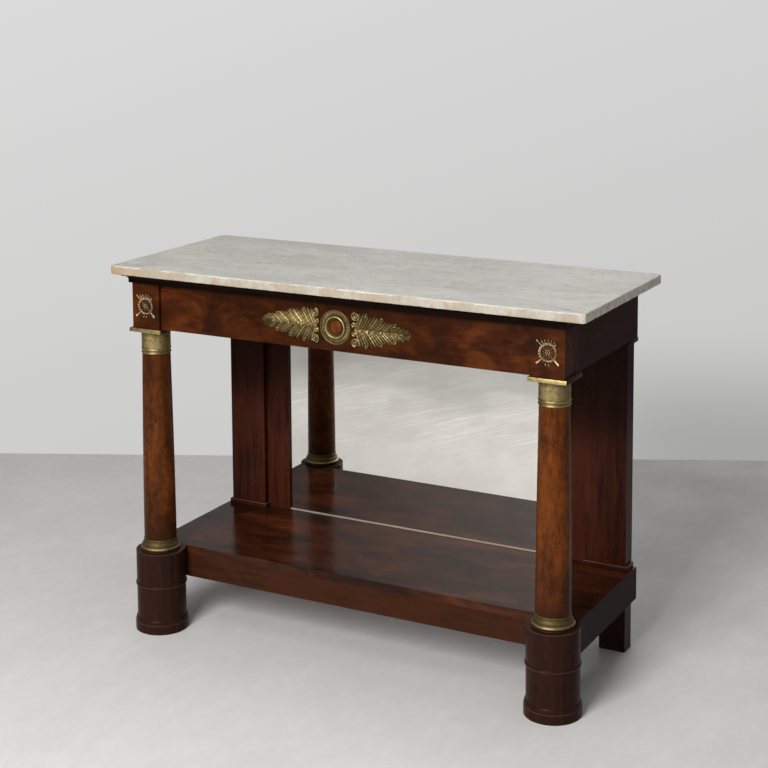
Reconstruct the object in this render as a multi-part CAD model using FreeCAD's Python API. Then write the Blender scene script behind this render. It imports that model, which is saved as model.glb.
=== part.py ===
import FreeCAD, Part

import math
import os

from FreeCAD import Vector

# Pier table of the Empire kind: a loose marble slab on a mitred cornice, a frieze with one
# concealed drawer between two corner blocks, two turned columns with gilt capitals and bases
# standing on drum feet, a thick low platform, and a mirror back between two flat pilasters.
# Millimetres. +Z is up, the front faces -Y, +X is to the right.
# The origin is at the floor, in the middle of the outer box.

# ------------------------------------------------------------------ outer sizes
TABLE_WIDTH = 1174.0                # across the marble
TABLE_DEPTH = 474.0                 # from the foot rings' front to the marble's back edge
TABLE_HEIGHT = 870.0                # floor to marble top

# ------------------------------------------------------------------ marble slab
MARBLE_THICK = 20.0
MARBLE_FRONT_RADIUS = 10.0          # plan radius of the front corners
MARBLE_BACK_RADIUS = 14.0
MARBLE_EDGE_EASE = 1.6              # rounding of the arrises
MARBLE_SIDE_OVERHANG = 50.0         # past the side of the frieze
MARBLE_BACK_OVERHANG = 20.0         # past the back of the frieze
MARBLE_FRONT_LIP = 2.0              # past the cornice's top edge

# ------------------------------------------------------------------ cornice
CORNICE_HEIGHT = 18.0
CORNICE_OUT = 18.0                  # top edge past the blocks' faces
CORNICE_FILLET_OUT = 6.0            # lower fillet past the blocks' faces
CORNICE_FILLET_HEIGHT = 8.0
CORNICE_LIP_HEIGHT = 1.5            # square lip above the hollow
CORNICE_BED_WIDTH = 60.0            # wood behind the blocks' faces
CROSS_RAIL_WIDTH = 60.0             # middle bearer under the marble

# ------------------------------------------------------------------ frieze carcase
FRIEZE_HEIGHT = 106.0
BLOCK_SIZE = 74.0                   # square plan of a corner block
BLOCK_PROUD = 7.0                   # block face in front of the drawer front
SIDE_RAIL_THICK = 20.0
BACK_RAIL_THICK = 20.0
DRAWER_RAIL_THICK = 14.0            # bearers over and under the drawer
RUNNER_WIDTH = 80.0
GUIDE_WIDTH = 12.0
GUIDE_HEIGHT = 46.0
KICKER_WIDTH = 60.0
TENON_LENGTH = 12.0                 # rails let into the blocks
TENON_SHOULDER = 3.0
JOINT_GAP = 0.1                     # glue room round tenons, dowels and spigots

# ------------------------------------------------------------------ drawer
DRAWER_FRONT_THICK = 20.0
DRAWER_SIDE_THICK = 12.0
DRAWER_BACK_THICK = 12.0
DRAWER_BOTTOM_THICK = 7.0
DRAWER_GROOVE_DEPTH = 5.0           # bottom board let into sides and front
DRAWER_BOTTOM_UP = 8.0              # below the groove
DRAWER_EDGE_GAP = 1.2               # round the drawer front, sides to guides
DRAWER_RUN_GAP = 0.3                # drawer to runners, front to bearers
DRAWER_TILT_GAP = 2.0               # sides below the kickers
DRAWER_BACK_SPACE = 12.0            # behind the shut drawer
DOVETAIL_COUNT = 3
DOVETAIL_LENGTH = 13.0              # tails into the drawer front
DOVETAIL_FLARE = 2.6                # half the widening of a tail at its end
DOVETAIL_NECK_SHARE = 0.5           # neck of a tail, as a share of its pitch

# ------------------------------------------------------------------ columns
ABACUS_THICK = 9.0
ABACUS_OUT = 6.5                    # past the block all round
ABACUS_STRIP_THICK = 1.5            # gilt strip on the front
CAPITAL_HEIGHT = 53.0
CAPITAL_R = 33.3
CAPITAL_RING_OUT = 1.3
CAPITAL_RING_HEIGHT = 4.5
CAPITAL_RING_SPACE = 4.0
CAPITAL_FLARE_OUT = 4.5
CAPITAL_FLARE_HEIGHT = 9.0
CAPITAL_BEND_OUT = 0.25             # middle of the flare's curve, as shares of the flare
CAPITAL_BEND_UP = 0.67
SHAFT_TOP_R = 32.6
SHAFT_BOTTOM_R = 37.8
SHAFT_WAIST_R = 36.9                # where the stronger taper begins
SHAFT_WAIST_SHARE = 0.33            # of the shaft's height, from its foot
SLEEVE_WALL = 5.0                   # capital and base rings round the necks
COLUMN_TENON_R = 15.0
COLUMN_TENON_TOP = 30.0             # up into the block
COLUMN_TENON_BOTTOM = 40.0          # down into the drum
BASE_FLARE_HEIGHT = 17.5
BASE_LEDGE = 0.8                    # base ring past the shaft's foot
BASE_TORUS_HEIGHT = 9.0
BASE_TORUS_R = 45.8
BASE_TORUS_IN = 2.8                 # torus edges inside its widest line
BASE_BEND_OUT = 0.33                # middle of the flare's curve, as a share of its spread
BASE_DISC_R = 45.0
BASE_DISC_HEIGHT = 1.5

# ------------------------------------------------------------------ drum feet
FOOT_RING_R = 62.0
FOOT_BAND_HEIGHT = 21.5             # upright band of the foot ring
FOOT_ROLL_HEIGHT = 12.0             # rounded shoulder above the band
FOOT_ROLL_IN = 1.0
FOOT_ROLL_BEND = 0.6                # height of the shoulder's fullest turn, as a share
FOOT_SPIGOT_R = 48.0                # drum's reduced end inside the ring
LOWER_DRUM_R = 57.2
LOWER_DRUM_HEIGHT = 71.0
FOOT_BEAD_HEIGHT = 3.0
FOOT_BEAD_R = 58.0
UPPER_DRUM_R = 57.6
UPPER_DRUM_ROLL_OUT = 2.0
UPPER_DRUM_ROLL_RISE = 1.5          # from the drum's foot to the widest line
UPPER_DRUM_ROLL_HEIGHT = 6.5
UPPER_DRUM_HEIGHT = 84.5
DRUM_EDGE_EASE = 1.0
DRUM_SPIGOT_R = 20.0
DRUM_SPIGOT_LENGTH = 22.0

# ------------------------------------------------------------------ platform
PLATFORM_THICK = 75.0
PLATFORM_BOARD_THICK = 18.0
PLATFORM_RAIL_THICK = 22.0
PLATFORM_SIDE_OUT = 41.0            # side face past the column's axis
PLATFORM_FRONT_IN = 40.0            # front face behind the column's axis
PLATFORM_CORNER_SIZE = 82.0         # coped corner blocks
COPE_GAP = 0.2                      # hollowed corner to drum
FOOT_DOWEL_R = 8.0
FOOT_DOWEL_LENGTH = 70.0
FOOT_DOWEL_RISE = 15.0              # dowels above and below the rail's middle

# ------------------------------------------------------------------ rear legs and pilasters
REAR_LEG_WIDTH = 62.0
PILASTER_SETBACK = 8.0              # pilaster's side inside the frieze's side
PILASTER_WIDTH = 97.0
PILASTER_DEPTH = 40.0
PLINTH_HEIGHT = 12.0
PLINTH_OUT = 5.5
CAP_OUT = 10.0
POST_TENON_WIDTH = 50.0
POST_TENON_THICK = 8.0
POST_TENON_TOP = 30.0
POST_TENON_BOTTOM = 12.0
LEG_TENON_WIDTH = 40.0
LEG_TENON_THICK = 16.0

# ------------------------------------------------------------------ mirror back
STILE_WIDTH = 63.0
STILE_THICK = 18.0
STILE_SETBACK = 15.5                # stile face behind the pilaster's face
MIRROR_LIP = 6.5                    # stile face to glass
MIRROR_REBATE = 10.0
MIRROR_TOP_RAIL = 40.0
GLASS_THICK = 4.0
GLASS_PLAY = 1.0                    # glass inside the rebates
BACKBOARD_THICK = 6.0
BACKBOARD_LAP = 30.0                # back board over the stiles and the top rail
GLASS_BLOCK_LENGTH = 40.0           # glazing blocks that wedge the glass in its rebate
GLASS_BLOCK_WIDTH = 8.0
GLASS_BLOCKS = 3                    # on each side and along the top
FILLET_WIDTH = 3.0                  # polished bead at the glass's foot
FILLET_HEIGHT = 3.0
FILLET_ROUND_IN = 0.35              # fullest point of the bead, as shares of its section
FILLET_ROUND_UP = 0.8

# ------------------------------------------------------------------ gilt mounts
MOUNT_THICK = 3.0
RING_OUTER_R = 38.5
RING_INNER_R = 16.0
RING_RELIEF = 5.0
RING_EDGE_RELIEF = 1.5              # at the band's edges and the groove
RING_CREST = 0.6                    # lines of the section, as shares from the inner edge
RING_GROOVE = 0.3
RING_BEAD = 0.15
SPRAY_START = 40.0                  # from the middle of the drawer front
SPRAY_LENGTH = 147.0
SPRAY_HALF_HEIGHT = 40.0            # at the ring's end
SPRAY_TIP_HALF_HEIGHT = 15.0
SPRAY_LOBES = 4
SPRAY_NOTCH = 0.74                  # notch between lobes, as a share of the leaf
VOLUTE_R = 10.5
WREATH_R = 20.5
WREATH_BAND = 5.0
TORCH_REACH = 38.0                  # wreath's centre to a torch's end
TORCH_WIDTH = 4.0
TORCH_FLARE = 10.0
BOW_R = 5.0
BOW_SPREAD = 6.0                    # bow's loops from the middle line
BOW_SINK = 2.0                      # loops overlapping the wreath
DROP_R = 3.0
DROP_SPREAD = 3.9
DROP_SINK = 0.9
ROSETTE_R = 7.0
TORCH_THICK = 2.1
TORCH_TURN = 45.0                   # degrees off the upright

# ------------------------------------------------------------------ levels and lines
MARBLE_BOTTOM = TABLE_HEIGHT - MARBLE_THICK
FRIEZE_TOP = MARBLE_BOTTOM - CORNICE_HEIGHT
FRIEZE_BOTTOM = FRIEZE_TOP - FRIEZE_HEIGHT
FRIEZE_MIDDLE = FRIEZE_BOTTOM + FRIEZE_HEIGHT / 2
ABACUS_BOTTOM = FRIEZE_BOTTOM - ABACUS_THICK
CAPITAL_BOTTOM = ABACUS_BOTTOM - CAPITAL_HEIGHT

FOOT_RING_HEIGHT = FOOT_BAND_HEIGHT + FOOT_ROLL_HEIGHT
FOOT_BEAD_Z = FOOT_RING_HEIGHT + LOWER_DRUM_HEIGHT
UPPER_DRUM_Z = FOOT_BEAD_Z + FOOT_BEAD_HEIGHT
PLATFORM_TOP = UPPER_DRUM_Z + UPPER_DRUM_HEIGHT
PLATFORM_BOTTOM = PLATFORM_TOP - PLATFORM_THICK
BOARD_BOTTOM = PLATFORM_TOP - PLATFORM_BOARD_THICK
BASE_BOTTOM = PLATFORM_TOP + BASE_DISC_HEIGHT
SHAFT_BOTTOM = BASE_BOTTOM + BASE_TORUS_HEIGHT + BASE_FLARE_HEIGHT
PLINTH_TOP = PLATFORM_TOP + PLINTH_HEIGHT

MARBLE_BACK = TABLE_DEPTH / 2
BACK = MARBLE_BACK - MARBLE_BACK_OVERHANG
SIDE = TABLE_WIDTH / 2 - MARBLE_SIDE_OVERHANG
COLUMN_X = SIDE - BLOCK_SIZE / 2
COLUMN_Y = -TABLE_DEPTH / 2 + FOOT_RING_R
BLOCK_INNER = SIDE - BLOCK_SIZE
BLOCK_FRONT = COLUMN_Y - BLOCK_SIZE / 2
MARBLE_FRONT = BLOCK_FRONT - CORNICE_OUT - MARBLE_FRONT_LIP
BLOCK_BACK = COLUMN_Y + BLOCK_SIZE / 2
DRAWER_FACE = BLOCK_FRONT + BLOCK_PROUD
DRAWER_FRONT_BACK = DRAWER_FACE + DRAWER_FRONT_THICK
RAIL_FRONT = DRAWER_FRONT_BACK + DRAWER_RUN_GAP
SIDE_RAIL_INNER = SIDE - SIDE_RAIL_THICK
BACK_RAIL_FRONT = BACK - BACK_RAIL_THICK
RAIL_TOP = FRIEZE_BOTTOM + DRAWER_RAIL_THICK
KICKER_BOTTOM = FRIEZE_TOP - DRAWER_RAIL_THICK

DRAWER_HALF = BLOCK_INNER - DRAWER_EDGE_GAP
DRAWER_SIDE_INNER = DRAWER_HALF - DRAWER_SIDE_THICK
DRAWER_BACK_FACE = BACK_RAIL_FRONT - DRAWER_BACK_SPACE
DRAWER_LOW = RAIL_TOP + DRAWER_RUN_GAP
DRAWER_HIGH = KICKER_BOTTOM - DRAWER_TILT_GAP
DRAWER_BOTTOM_Z = DRAWER_LOW + DRAWER_BOTTOM_UP
DRAWER_FLOOR = DRAWER_BOTTOM_Z + DRAWER_BOTTOM_THICK

PLATFORM_SIDE = COLUMN_X + PLATFORM_SIDE_OUT
PLATFORM_FRONT = COLUMN_Y + PLATFORM_FRONT_IN
PILASTER_OUTER = SIDE - PILASTER_SETBACK
PILASTER_INNER = PILASTER_OUTER - PILASTER_WIDTH
PILASTER_FRONT = BACK - PILASTER_DEPTH
PILASTER_MIDDLE = (PILASTER_OUTER + PILASTER_INNER) / 2
POST_TENON_Y = BACK - BACK_RAIL_THICK / 2
STILE_FRONT = PILASTER_FRONT + STILE_SETBACK
STILE_BACK = STILE_FRONT + STILE_THICK
STILE_INNER = PILASTER_INNER - STILE_WIDTH
GLASS_FRONT = STILE_FRONT + MIRROR_LIP
GLASS_BACK = GLASS_FRONT + GLASS_THICK
MIRROR_RAIL_BOTTOM = FRIEZE_BOTTOM - MIRROR_TOP_RAIL
REBATE_EDGE = STILE_INNER + MIRROR_REBATE - GLASS_PLAY
REBATE_TOP = MIRROR_RAIL_BOTTOM + MIRROR_REBATE - GLASS_PLAY
BACKBOARD_HALF = STILE_INNER + BACKBOARD_LAP
BACKBOARD_TOP = MIRROR_RAIL_BOTTOM + BACKBOARD_LAP


# ------------------------------------------------------------------ helpers
def block(x0, x1, y0, y1, z0, z1):
    """A rectangular piece between two corners."""
    return Part.makeBox(x1 - x0, y1 - y0, z1 - z0, Vector(x0, y0, z0))


def prism(points, lift):
    """A straight-sided piece: a closed outline of points carried along a vector."""
    outline = Part.makePolygon(list(points) + [points[0]])
    return Part.Face(outline).extrude(lift)


def turned(edges, axis_x, axis_y):
    """A turned piece: edges in the (radius, z) half plane spun about an upright axis."""
    profile = Part.Face(Part.Wire(edges))
    solid = profile.revolve(Vector(0, 0, 0), Vector(0, 0, 1), 360)
    solid.translate(Vector(axis_x, axis_y, 0))
    return solid


def at(radius, height):
    """A point of a turning profile."""
    return Vector(radius, 0, height)


def line(start, end):
    return Part.LineSegment(start, end).toShape()


def arc(start, middle, end):
    return Part.Arc(start, middle, end).toShape()


def path(*points):
    """Straight edges through the points, in order."""
    return [line(first, second) for first, second in zip(points, points[1:])]


def rod(radius, start, end):
    """A round bar between two points."""
    along = end - start
    return Part.makeCylinder(radius, along.Length, start, along)


def mirrored(shape):
    """The same piece on the other side of the table."""
    return shape.mirror(Vector(0, 0, 0), Vector(1, 0, 0))


def tenoned_rail(x_end, y0, y1, z0, z1, gap):
    """A rail from side to side with a tenon on each end; with a gap it cuts the mortises."""
    rail = block(-x_end, x_end, y0, y1, z0, z1)
    reach = x_end + TENON_LENGTH + gap
    tenon = block(-reach, reach,
                  y0 + TENON_SHOULDER - gap, y1 - TENON_SHOULDER + gap,
                  z0 + TENON_SHOULDER - gap, z1 - TENON_SHOULDER + gap)
    return rail.fuse(tenon).removeSplitter()


# ------------------------------------------------------------------ marble and cornice
def marble_top():
    """The loose slab: slightly rounded corners, softened arrises."""
    half = TABLE_WIDTH / 2
    slab = block(-half, half, MARBLE_FRONT, MARBLE_BACK, MARBLE_BOTTOM, TABLE_HEIGHT)
    front = [edge for edge in slab.Edges if is_upright(edge) and edge.BoundBox.YMax < 0]
    slab = slab.makeFillet(MARBLE_FRONT_RADIUS, front)
    back = [edge for edge in slab.Edges if is_upright(edge) and edge.BoundBox.YMin > 0]
    slab = slab.makeFillet(MARBLE_BACK_RADIUS, back)
    rims = [edge for edge in slab.Edges if edge.BoundBox.ZLength < MARBLE_THICK / 2]
    return slab.makeFillet(MARBLE_EDGE_EASE, rims)


def is_upright(edge):
    return edge.BoundBox.ZLength > MARBLE_THICK / 2


def cornice_profile(place):
    """Section of the cornice; place(out, up) gives the point out from the block faces."""
    sweep_out = CORNICE_OUT - CORNICE_FILLET_OUT
    sweep_up = CORNICE_HEIGHT - CORNICE_FILLET_HEIGHT - CORNICE_LIP_HEIGHT
    diagonal = math.sqrt(0.5)
    fillet_low = place(CORNICE_FILLET_OUT, 0)
    fillet_high = place(CORNICE_FILLET_OUT, CORNICE_FILLET_HEIGHT)
    hollow = place(CORNICE_FILLET_OUT + sweep_out * (1 - diagonal),
                   CORNICE_FILLET_HEIGHT + sweep_up * diagonal)
    lip_low = place(CORNICE_OUT, CORNICE_FILLET_HEIGHT + sweep_up)
    lip_high = place(CORNICE_OUT, CORNICE_HEIGHT)
    bed_high = place(-CORNICE_BED_WIDTH, CORNICE_HEIGHT)
    bed_low = place(-CORNICE_BED_WIDTH, 0)
    edges = path(bed_low, fillet_low, fillet_high)
    edges.append(arc(fillet_high, hollow, lip_low))
    edges += path(lip_low, lip_high, bed_high, bed_low)
    return Part.Face(Part.Wire(edges))


def mitre_plan(points):
    """An upright prism over the cornice's height, for cutting mitres."""
    return prism([Vector(x, y, FRIEZE_TOP) for x, y in points], Vector(0, 0, CORNICE_HEIGHT))


def cornice_front():
    """Front moulding, mitred at both ends."""
    half = SIDE + CORNICE_OUT
    front = BLOCK_FRONT - CORNICE_OUT
    bed = BLOCK_FRONT + CORNICE_BED_WIDTH
    bed_half = SIDE - CORNICE_BED_WIDTH
    section = cornice_profile(lambda out, up: Vector(-half, BLOCK_FRONT - out, FRIEZE_TOP + up))
    moulding = section.extrude(Vector(2 * half, 0, 0))
    plan = mitre_plan([(-half, front), (half, front), (bed_half, bed), (-bed_half, bed)])
    return moulding.common(plan)


def cornice_right():
    """Return moulding along the right side, mitred at the front."""
    front = BLOCK_FRONT - CORNICE_OUT
    bed = BLOCK_FRONT + CORNICE_BED_WIDTH
    outer = SIDE + CORNICE_OUT
    inner = SIDE - CORNICE_BED_WIDTH
    section = cornice_profile(lambda out, up: Vector(SIDE + out, front, FRIEZE_TOP + up))
    moulding = section.extrude(Vector(0, BACK - front, 0))
    plan = mitre_plan([(outer, front), (outer, BACK), (inner, BACK), (inner, bed)])
    return moulding.common(plan)


def top_back_rail():
    """Bearer behind, between the returns."""
    half = SIDE - CORNICE_BED_WIDTH
    return block(-half, half, BACK - CORNICE_BED_WIDTH, BACK, FRIEZE_TOP, MARBLE_BOTTOM)


def top_cross_rail():
    """Middle bearer from the front cornice to the back one."""
    half = CROSS_RAIL_WIDTH / 2
    return block(-half, half, BLOCK_FRONT + CORNICE_BED_WIDTH, BACK - CORNICE_BED_WIDTH,
                 FRIEZE_TOP, MARBLE_BOTTOM)


# ------------------------------------------------------------------ frieze carcase
def lower_bearer(gap):
    """Rail under the drawer, hidden by the drawer front."""
    return tenoned_rail(BLOCK_INNER, RAIL_FRONT, BLOCK_BACK, FRIEZE_BOTTOM, RAIL_TOP, gap)


def upper_bearer(gap):
    """Rail over the drawer."""
    return tenoned_rail(BLOCK_INNER, RAIL_FRONT, BLOCK_BACK, KICKER_BOTTOM, FRIEZE_TOP, gap)


def side_rail(gap):
    """Right side of the frieze with its tenon into the corner block."""
    rail = block(SIDE_RAIL_INNER, SIDE, BLOCK_BACK, BACK, FRIEZE_BOTTOM, FRIEZE_TOP)
    inset = SIDE_RAIL_THICK / 4
    rise = DRAWER_RAIL_THICK
    tenon = block(SIDE_RAIL_INNER + inset - gap, SIDE - inset + gap,
                  BLOCK_BACK - TENON_LENGTH - gap, BLOCK_BACK + TENON_SHOULDER,
                  FRIEZE_BOTTOM + rise - gap, FRIEZE_TOP - rise + gap)
    return rail.fuse(tenon).removeSplitter()


def corner_block():
    """Right corner block, mortised for both bearers, the side rail and the column."""
    body = block(BLOCK_INNER, SIDE, BLOCK_FRONT, BLOCK_BACK, FRIEZE_BOTTOM, FRIEZE_TOP)
    socket = rod(COLUMN_TENON_R + JOINT_GAP, Vector(COLUMN_X, COLUMN_Y, FRIEZE_BOTTOM),
                 Vector(COLUMN_X, COLUMN_Y, FRIEZE_BOTTOM + COLUMN_TENON_TOP + JOINT_GAP))
    return body.cut([lower_bearer(JOINT_GAP), upper_bearer(JOINT_GAP), side_rail(JOINT_GAP), socket])


def post_tenon(gap):
    """Tenon on top of the right pilaster, up through the cap into the back rail."""
    half = POST_TENON_WIDTH / 2 + gap
    thick = POST_TENON_THICK / 2 + gap
    return block(PILASTER_MIDDLE - half, PILASTER_MIDDLE + half,
                 POST_TENON_Y - thick, POST_TENON_Y + thick,
                 ABACUS_BOTTOM - gap, FRIEZE_BOTTOM + POST_TENON_TOP + gap)


def frieze_back_rail():
    """Back of the frieze between the side rails, mortised for the pilasters."""
    rail = block(-SIDE_RAIL_INNER, SIDE_RAIL_INNER, BACK_RAIL_FRONT, BACK,
                 FRIEZE_BOTTOM, FRIEZE_TOP)
    mortise = post_tenon(JOINT_GAP)
    return rail.cut([mortise, mirrored(mortise)])


def drawer_runner():
    """Flat board under the right drawer side."""
    return block(SIDE_RAIL_INNER - RUNNER_WIDTH, SIDE_RAIL_INNER, BLOCK_BACK, BACK_RAIL_FRONT,
                 FRIEZE_BOTTOM, RAIL_TOP)


def drawer_guide():
    """Strip standing on the right runner, which keeps the drawer straight."""
    return block(BLOCK_INNER, BLOCK_INNER + GUIDE_WIDTH, BLOCK_BACK, BACK_RAIL_FRONT,
                 RAIL_TOP, RAIL_TOP + GUIDE_HEIGHT)


def drawer_kicker():
    """Strip over the right drawer side that stops the open drawer from tipping."""
    return block(SIDE_RAIL_INNER - KICKER_WIDTH, SIDE_RAIL_INNER, BLOCK_BACK, BACK_RAIL_FRONT,
                 KICKER_BOTTOM, FRIEZE_TOP)


# ------------------------------------------------------------------ drawer
def dovetails(gap):
    """Tails on the front end of the right drawer side, wider at their ends."""
    pitch = (DRAWER_HIGH - DRAWER_LOW) / DOVETAIL_COUNT
    neck = pitch * DOVETAIL_NECK_SHARE / 2
    root = DRAWER_FRONT_BACK
    tip = DRAWER_FRONT_BACK - DOVETAIL_LENGTH
    tails = []
    for index in range(DOVETAIL_COUNT):
        middle = DRAWER_LOW + pitch * (index + 0.5)
        plan = [Vector(DRAWER_SIDE_INNER, root, middle - neck - gap),
                Vector(DRAWER_SIDE_INNER, tip - gap, middle - neck - DOVETAIL_FLARE - gap),
                Vector(DRAWER_SIDE_INNER, tip - gap, middle + neck + DOVETAIL_FLARE + gap),
                Vector(DRAWER_SIDE_INNER, root, middle + neck + gap)]
        tails.append(prism(plan, Vector(DRAWER_SIDE_THICK, 0, 0)))
    return tails


def drawer_bottom(gap):
    """Bottom board, in grooves at the sides and front, sliding in under the back."""
    half = DRAWER_SIDE_INNER + DRAWER_GROOVE_DEPTH + gap
    return block(-half, half, DRAWER_FRONT_BACK - DRAWER_GROOVE_DEPTH - gap, DRAWER_BACK_FACE,
                 DRAWER_BOTTOM_Z - gap, DRAWER_FLOOR + gap)


def drawer_front():
    """Drawer front that also covers the bearers, with dovetail sockets and a groove."""
    board = block(-DRAWER_HALF, DRAWER_HALF, DRAWER_FACE, DRAWER_FRONT_BACK,
                  FRIEZE_BOTTOM, FRIEZE_TOP - DRAWER_EDGE_GAP)
    sockets = dovetails(0)
    sockets += [mirrored(tail) for tail in sockets]
    return board.cut(sockets + [drawer_bottom(JOINT_GAP)])


def drawer_side():
    """Right drawer side with its tails and groove."""
    board = block(DRAWER_SIDE_INNER, DRAWER_HALF, DRAWER_FRONT_BACK, DRAWER_BACK_FACE,
                  DRAWER_LOW, DRAWER_HIGH)
    return board.fuse(dovetails(0)).removeSplitter().cut(drawer_bottom(JOINT_GAP))


def drawer_back():
    """Drawer back between the sides, standing on the bottom board."""
    return block(-DRAWER_SIDE_INNER, DRAWER_SIDE_INNER,
                 DRAWER_BACK_FACE - DRAWER_BACK_THICK, DRAWER_BACK_FACE,
                 DRAWER_FLOOR + JOINT_GAP, DRAWER_HIGH)


# ------------------------------------------------------------------ columns
def abacus():
    """Square wooden plate under the right block, with the column's tenon through it."""
    half = BLOCK_SIZE / 2 + ABACUS_OUT
    plate = block(COLUMN_X - half, COLUMN_X + half,
                  COLUMN_Y - half + ABACUS_STRIP_THICK, COLUMN_Y + half,
                  ABACUS_BOTTOM, FRIEZE_BOTTOM)
    hole = rod(COLUMN_TENON_R + JOINT_GAP, Vector(COLUMN_X, COLUMN_Y, ABACUS_BOTTOM),
               Vector(COLUMN_X, COLUMN_Y, FRIEZE_BOTTOM))
    return plate.cut(hole)


def abacus_strip():
    """Gilt strip on the abacus's front edge."""
    half = BLOCK_SIZE / 2 + ABACUS_OUT
    front = COLUMN_Y - half
    return block(COLUMN_X - half, COLUMN_X + half, front, front + ABACUS_STRIP_THICK,
                 ABACUS_BOTTOM, FRIEZE_BOTTOM)


def bevelled_ring(radius, out, low, high):
    """Points of a flat ring with bevelled edges, from its low edge to its high edge."""
    return [at(radius, low), at(radius + out, low + out), at(radius + out, high - out),
            at(radius, high)]


def capital():
    """Gilt sleeve round the neck: two rings, a plain drum and a flare under the abacus."""
    bore = SHAFT_TOP_R - SLEEVE_WALL + JOINT_GAP
    low = CAPITAL_BOTTOM
    first = low + CAPITAL_RING_HEIGHT
    second = first + CAPITAL_RING_SPACE
    third = second + CAPITAL_RING_HEIGHT
    flare = ABACUS_BOTTOM - CAPITAL_FLARE_HEIGHT
    rim = CAPITAL_R + CAPITAL_FLARE_OUT
    bend = at(CAPITAL_R + CAPITAL_FLARE_OUT * CAPITAL_BEND_OUT,
              flare + CAPITAL_FLARE_HEIGHT * CAPITAL_BEND_UP)
    edges = path(at(bore, low), *bevelled_ring(CAPITAL_R, CAPITAL_RING_OUT, low, first),
                 *bevelled_ring(CAPITAL_R, CAPITAL_RING_OUT, second, third),
                 at(CAPITAL_R, flare))
    edges.append(arc(at(CAPITAL_R, flare), bend, at(rim, ABACUS_BOTTOM)))
    edges += path(at(rim, ABACUS_BOTTOM), at(bore, ABACUS_BOTTOM), at(bore, low))
    return turned(edges, COLUMN_X, COLUMN_Y)


def column():
    """Right shaft: its taper grows above the waist; a neck and a tenon at each end."""
    top_neck = SHAFT_TOP_R - SLEEVE_WALL
    foot_neck = SHAFT_BOTTOM_R - SLEEVE_WALL
    waist = SHAFT_BOTTOM + (CAPITAL_BOTTOM - SHAFT_BOTTOM) * SHAFT_WAIST_SHARE
    tip = FRIEZE_BOTTOM + COLUMN_TENON_TOP
    toe = PLATFORM_TOP - COLUMN_TENON_BOTTOM
    edges = path(at(0, toe), at(COLUMN_TENON_R, toe), at(COLUMN_TENON_R, BASE_BOTTOM),
                 at(foot_neck, BASE_BOTTOM), at(foot_neck, SHAFT_BOTTOM),
                 at(SHAFT_BOTTOM_R, SHAFT_BOTTOM), at(SHAFT_WAIST_R, waist),
                 at(SHAFT_TOP_R, CAPITAL_BOTTOM), at(top_neck, CAPITAL_BOTTOM),
                 at(top_neck, ABACUS_BOTTOM), at(COLUMN_TENON_R, ABACUS_BOTTOM),
                 at(COLUMN_TENON_R, tip), at(0, tip), at(0, toe))
    return turned(edges, COLUMN_X, COLUMN_Y)


def base_ring():
    """Gilt base: a hollow flare running out from the shaft onto a torus."""
    bore = SHAFT_BOTTOM_R - SLEEVE_WALL + JOINT_GAP
    lip = SHAFT_BOTTOM_R + BASE_LEDGE
    torus_top = BASE_BOTTOM + BASE_TORUS_HEIGHT
    torus_edge = BASE_TORUS_R - BASE_TORUS_IN
    bend = at(lip + (torus_edge - lip) * BASE_BEND_OUT, torus_top + BASE_FLARE_HEIGHT / 2)
    edges = path(at(lip, SHAFT_BOTTOM), at(bore, SHAFT_BOTTOM), at(bore, BASE_BOTTOM),
                 at(torus_edge, BASE_BOTTOM))
    edges.append(arc(at(torus_edge, BASE_BOTTOM),
                     at(BASE_TORUS_R, BASE_BOTTOM + BASE_TORUS_HEIGHT / 2),
                     at(torus_edge, torus_top)))
    edges.append(arc(at(torus_edge, torus_top), bend, at(lip, SHAFT_BOTTOM)))
    return turned(edges, COLUMN_X, COLUMN_Y)


def washer(radius, bore, low, high):
    """A flat turned disc with a hole, on the right column's axis."""
    corners = [at(bore, low), at(radius, low), at(radius, high), at(bore, high), at(bore, low)]
    return turned(path(*corners), COLUMN_X, COLUMN_Y)


def base_disc():
    """Thin gilt plate between the base ring and the drum."""
    return washer(BASE_DISC_R, COLUMN_TENON_R + JOINT_GAP, PLATFORM_TOP, BASE_BOTTOM)


# ------------------------------------------------------------------ drum feet
def upper_drum_body(gap):
    """Outside of the upper drum: eased top edge and a small roll round the foot."""
    radius = UPPER_DRUM_R + gap
    rolled = radius + UPPER_DRUM_ROLL_OUT
    roll_low = UPPER_DRUM_Z + UPPER_DRUM_ROLL_RISE
    roll_high = UPPER_DRUM_Z + UPPER_DRUM_ROLL_HEIGHT
    edges = path(at(0, UPPER_DRUM_Z), at(radius, UPPER_DRUM_Z), at(rolled, roll_low),
                 at(rolled, roll_high - UPPER_DRUM_ROLL_OUT), at(radius, roll_high),
                 at(radius, PLATFORM_TOP - DRUM_EDGE_EASE),
                 at(radius - DRUM_EDGE_EASE, PLATFORM_TOP), at(0, PLATFORM_TOP),
                 at(0, UPPER_DRUM_Z))
    return turned(edges, COLUMN_X, COLUMN_Y)


def foot_dowels(radius):
    """Two dowels from the right drum back into the platform's corner."""
    middle = (PLATFORM_BOTTOM + BOARD_BOTTOM) / 2
    start_y = COLUMN_Y + COLUMN_TENON_R + DRUM_SPIGOT_R / 2
    dowels = []
    for rise in (-FOOT_DOWEL_RISE, FOOT_DOWEL_RISE):
        start = Vector(COLUMN_X, start_y, middle + rise)
        dowels.append(rod(radius, start, start + Vector(0, FOOT_DOWEL_LENGTH, 0)))
    return dowels


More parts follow.
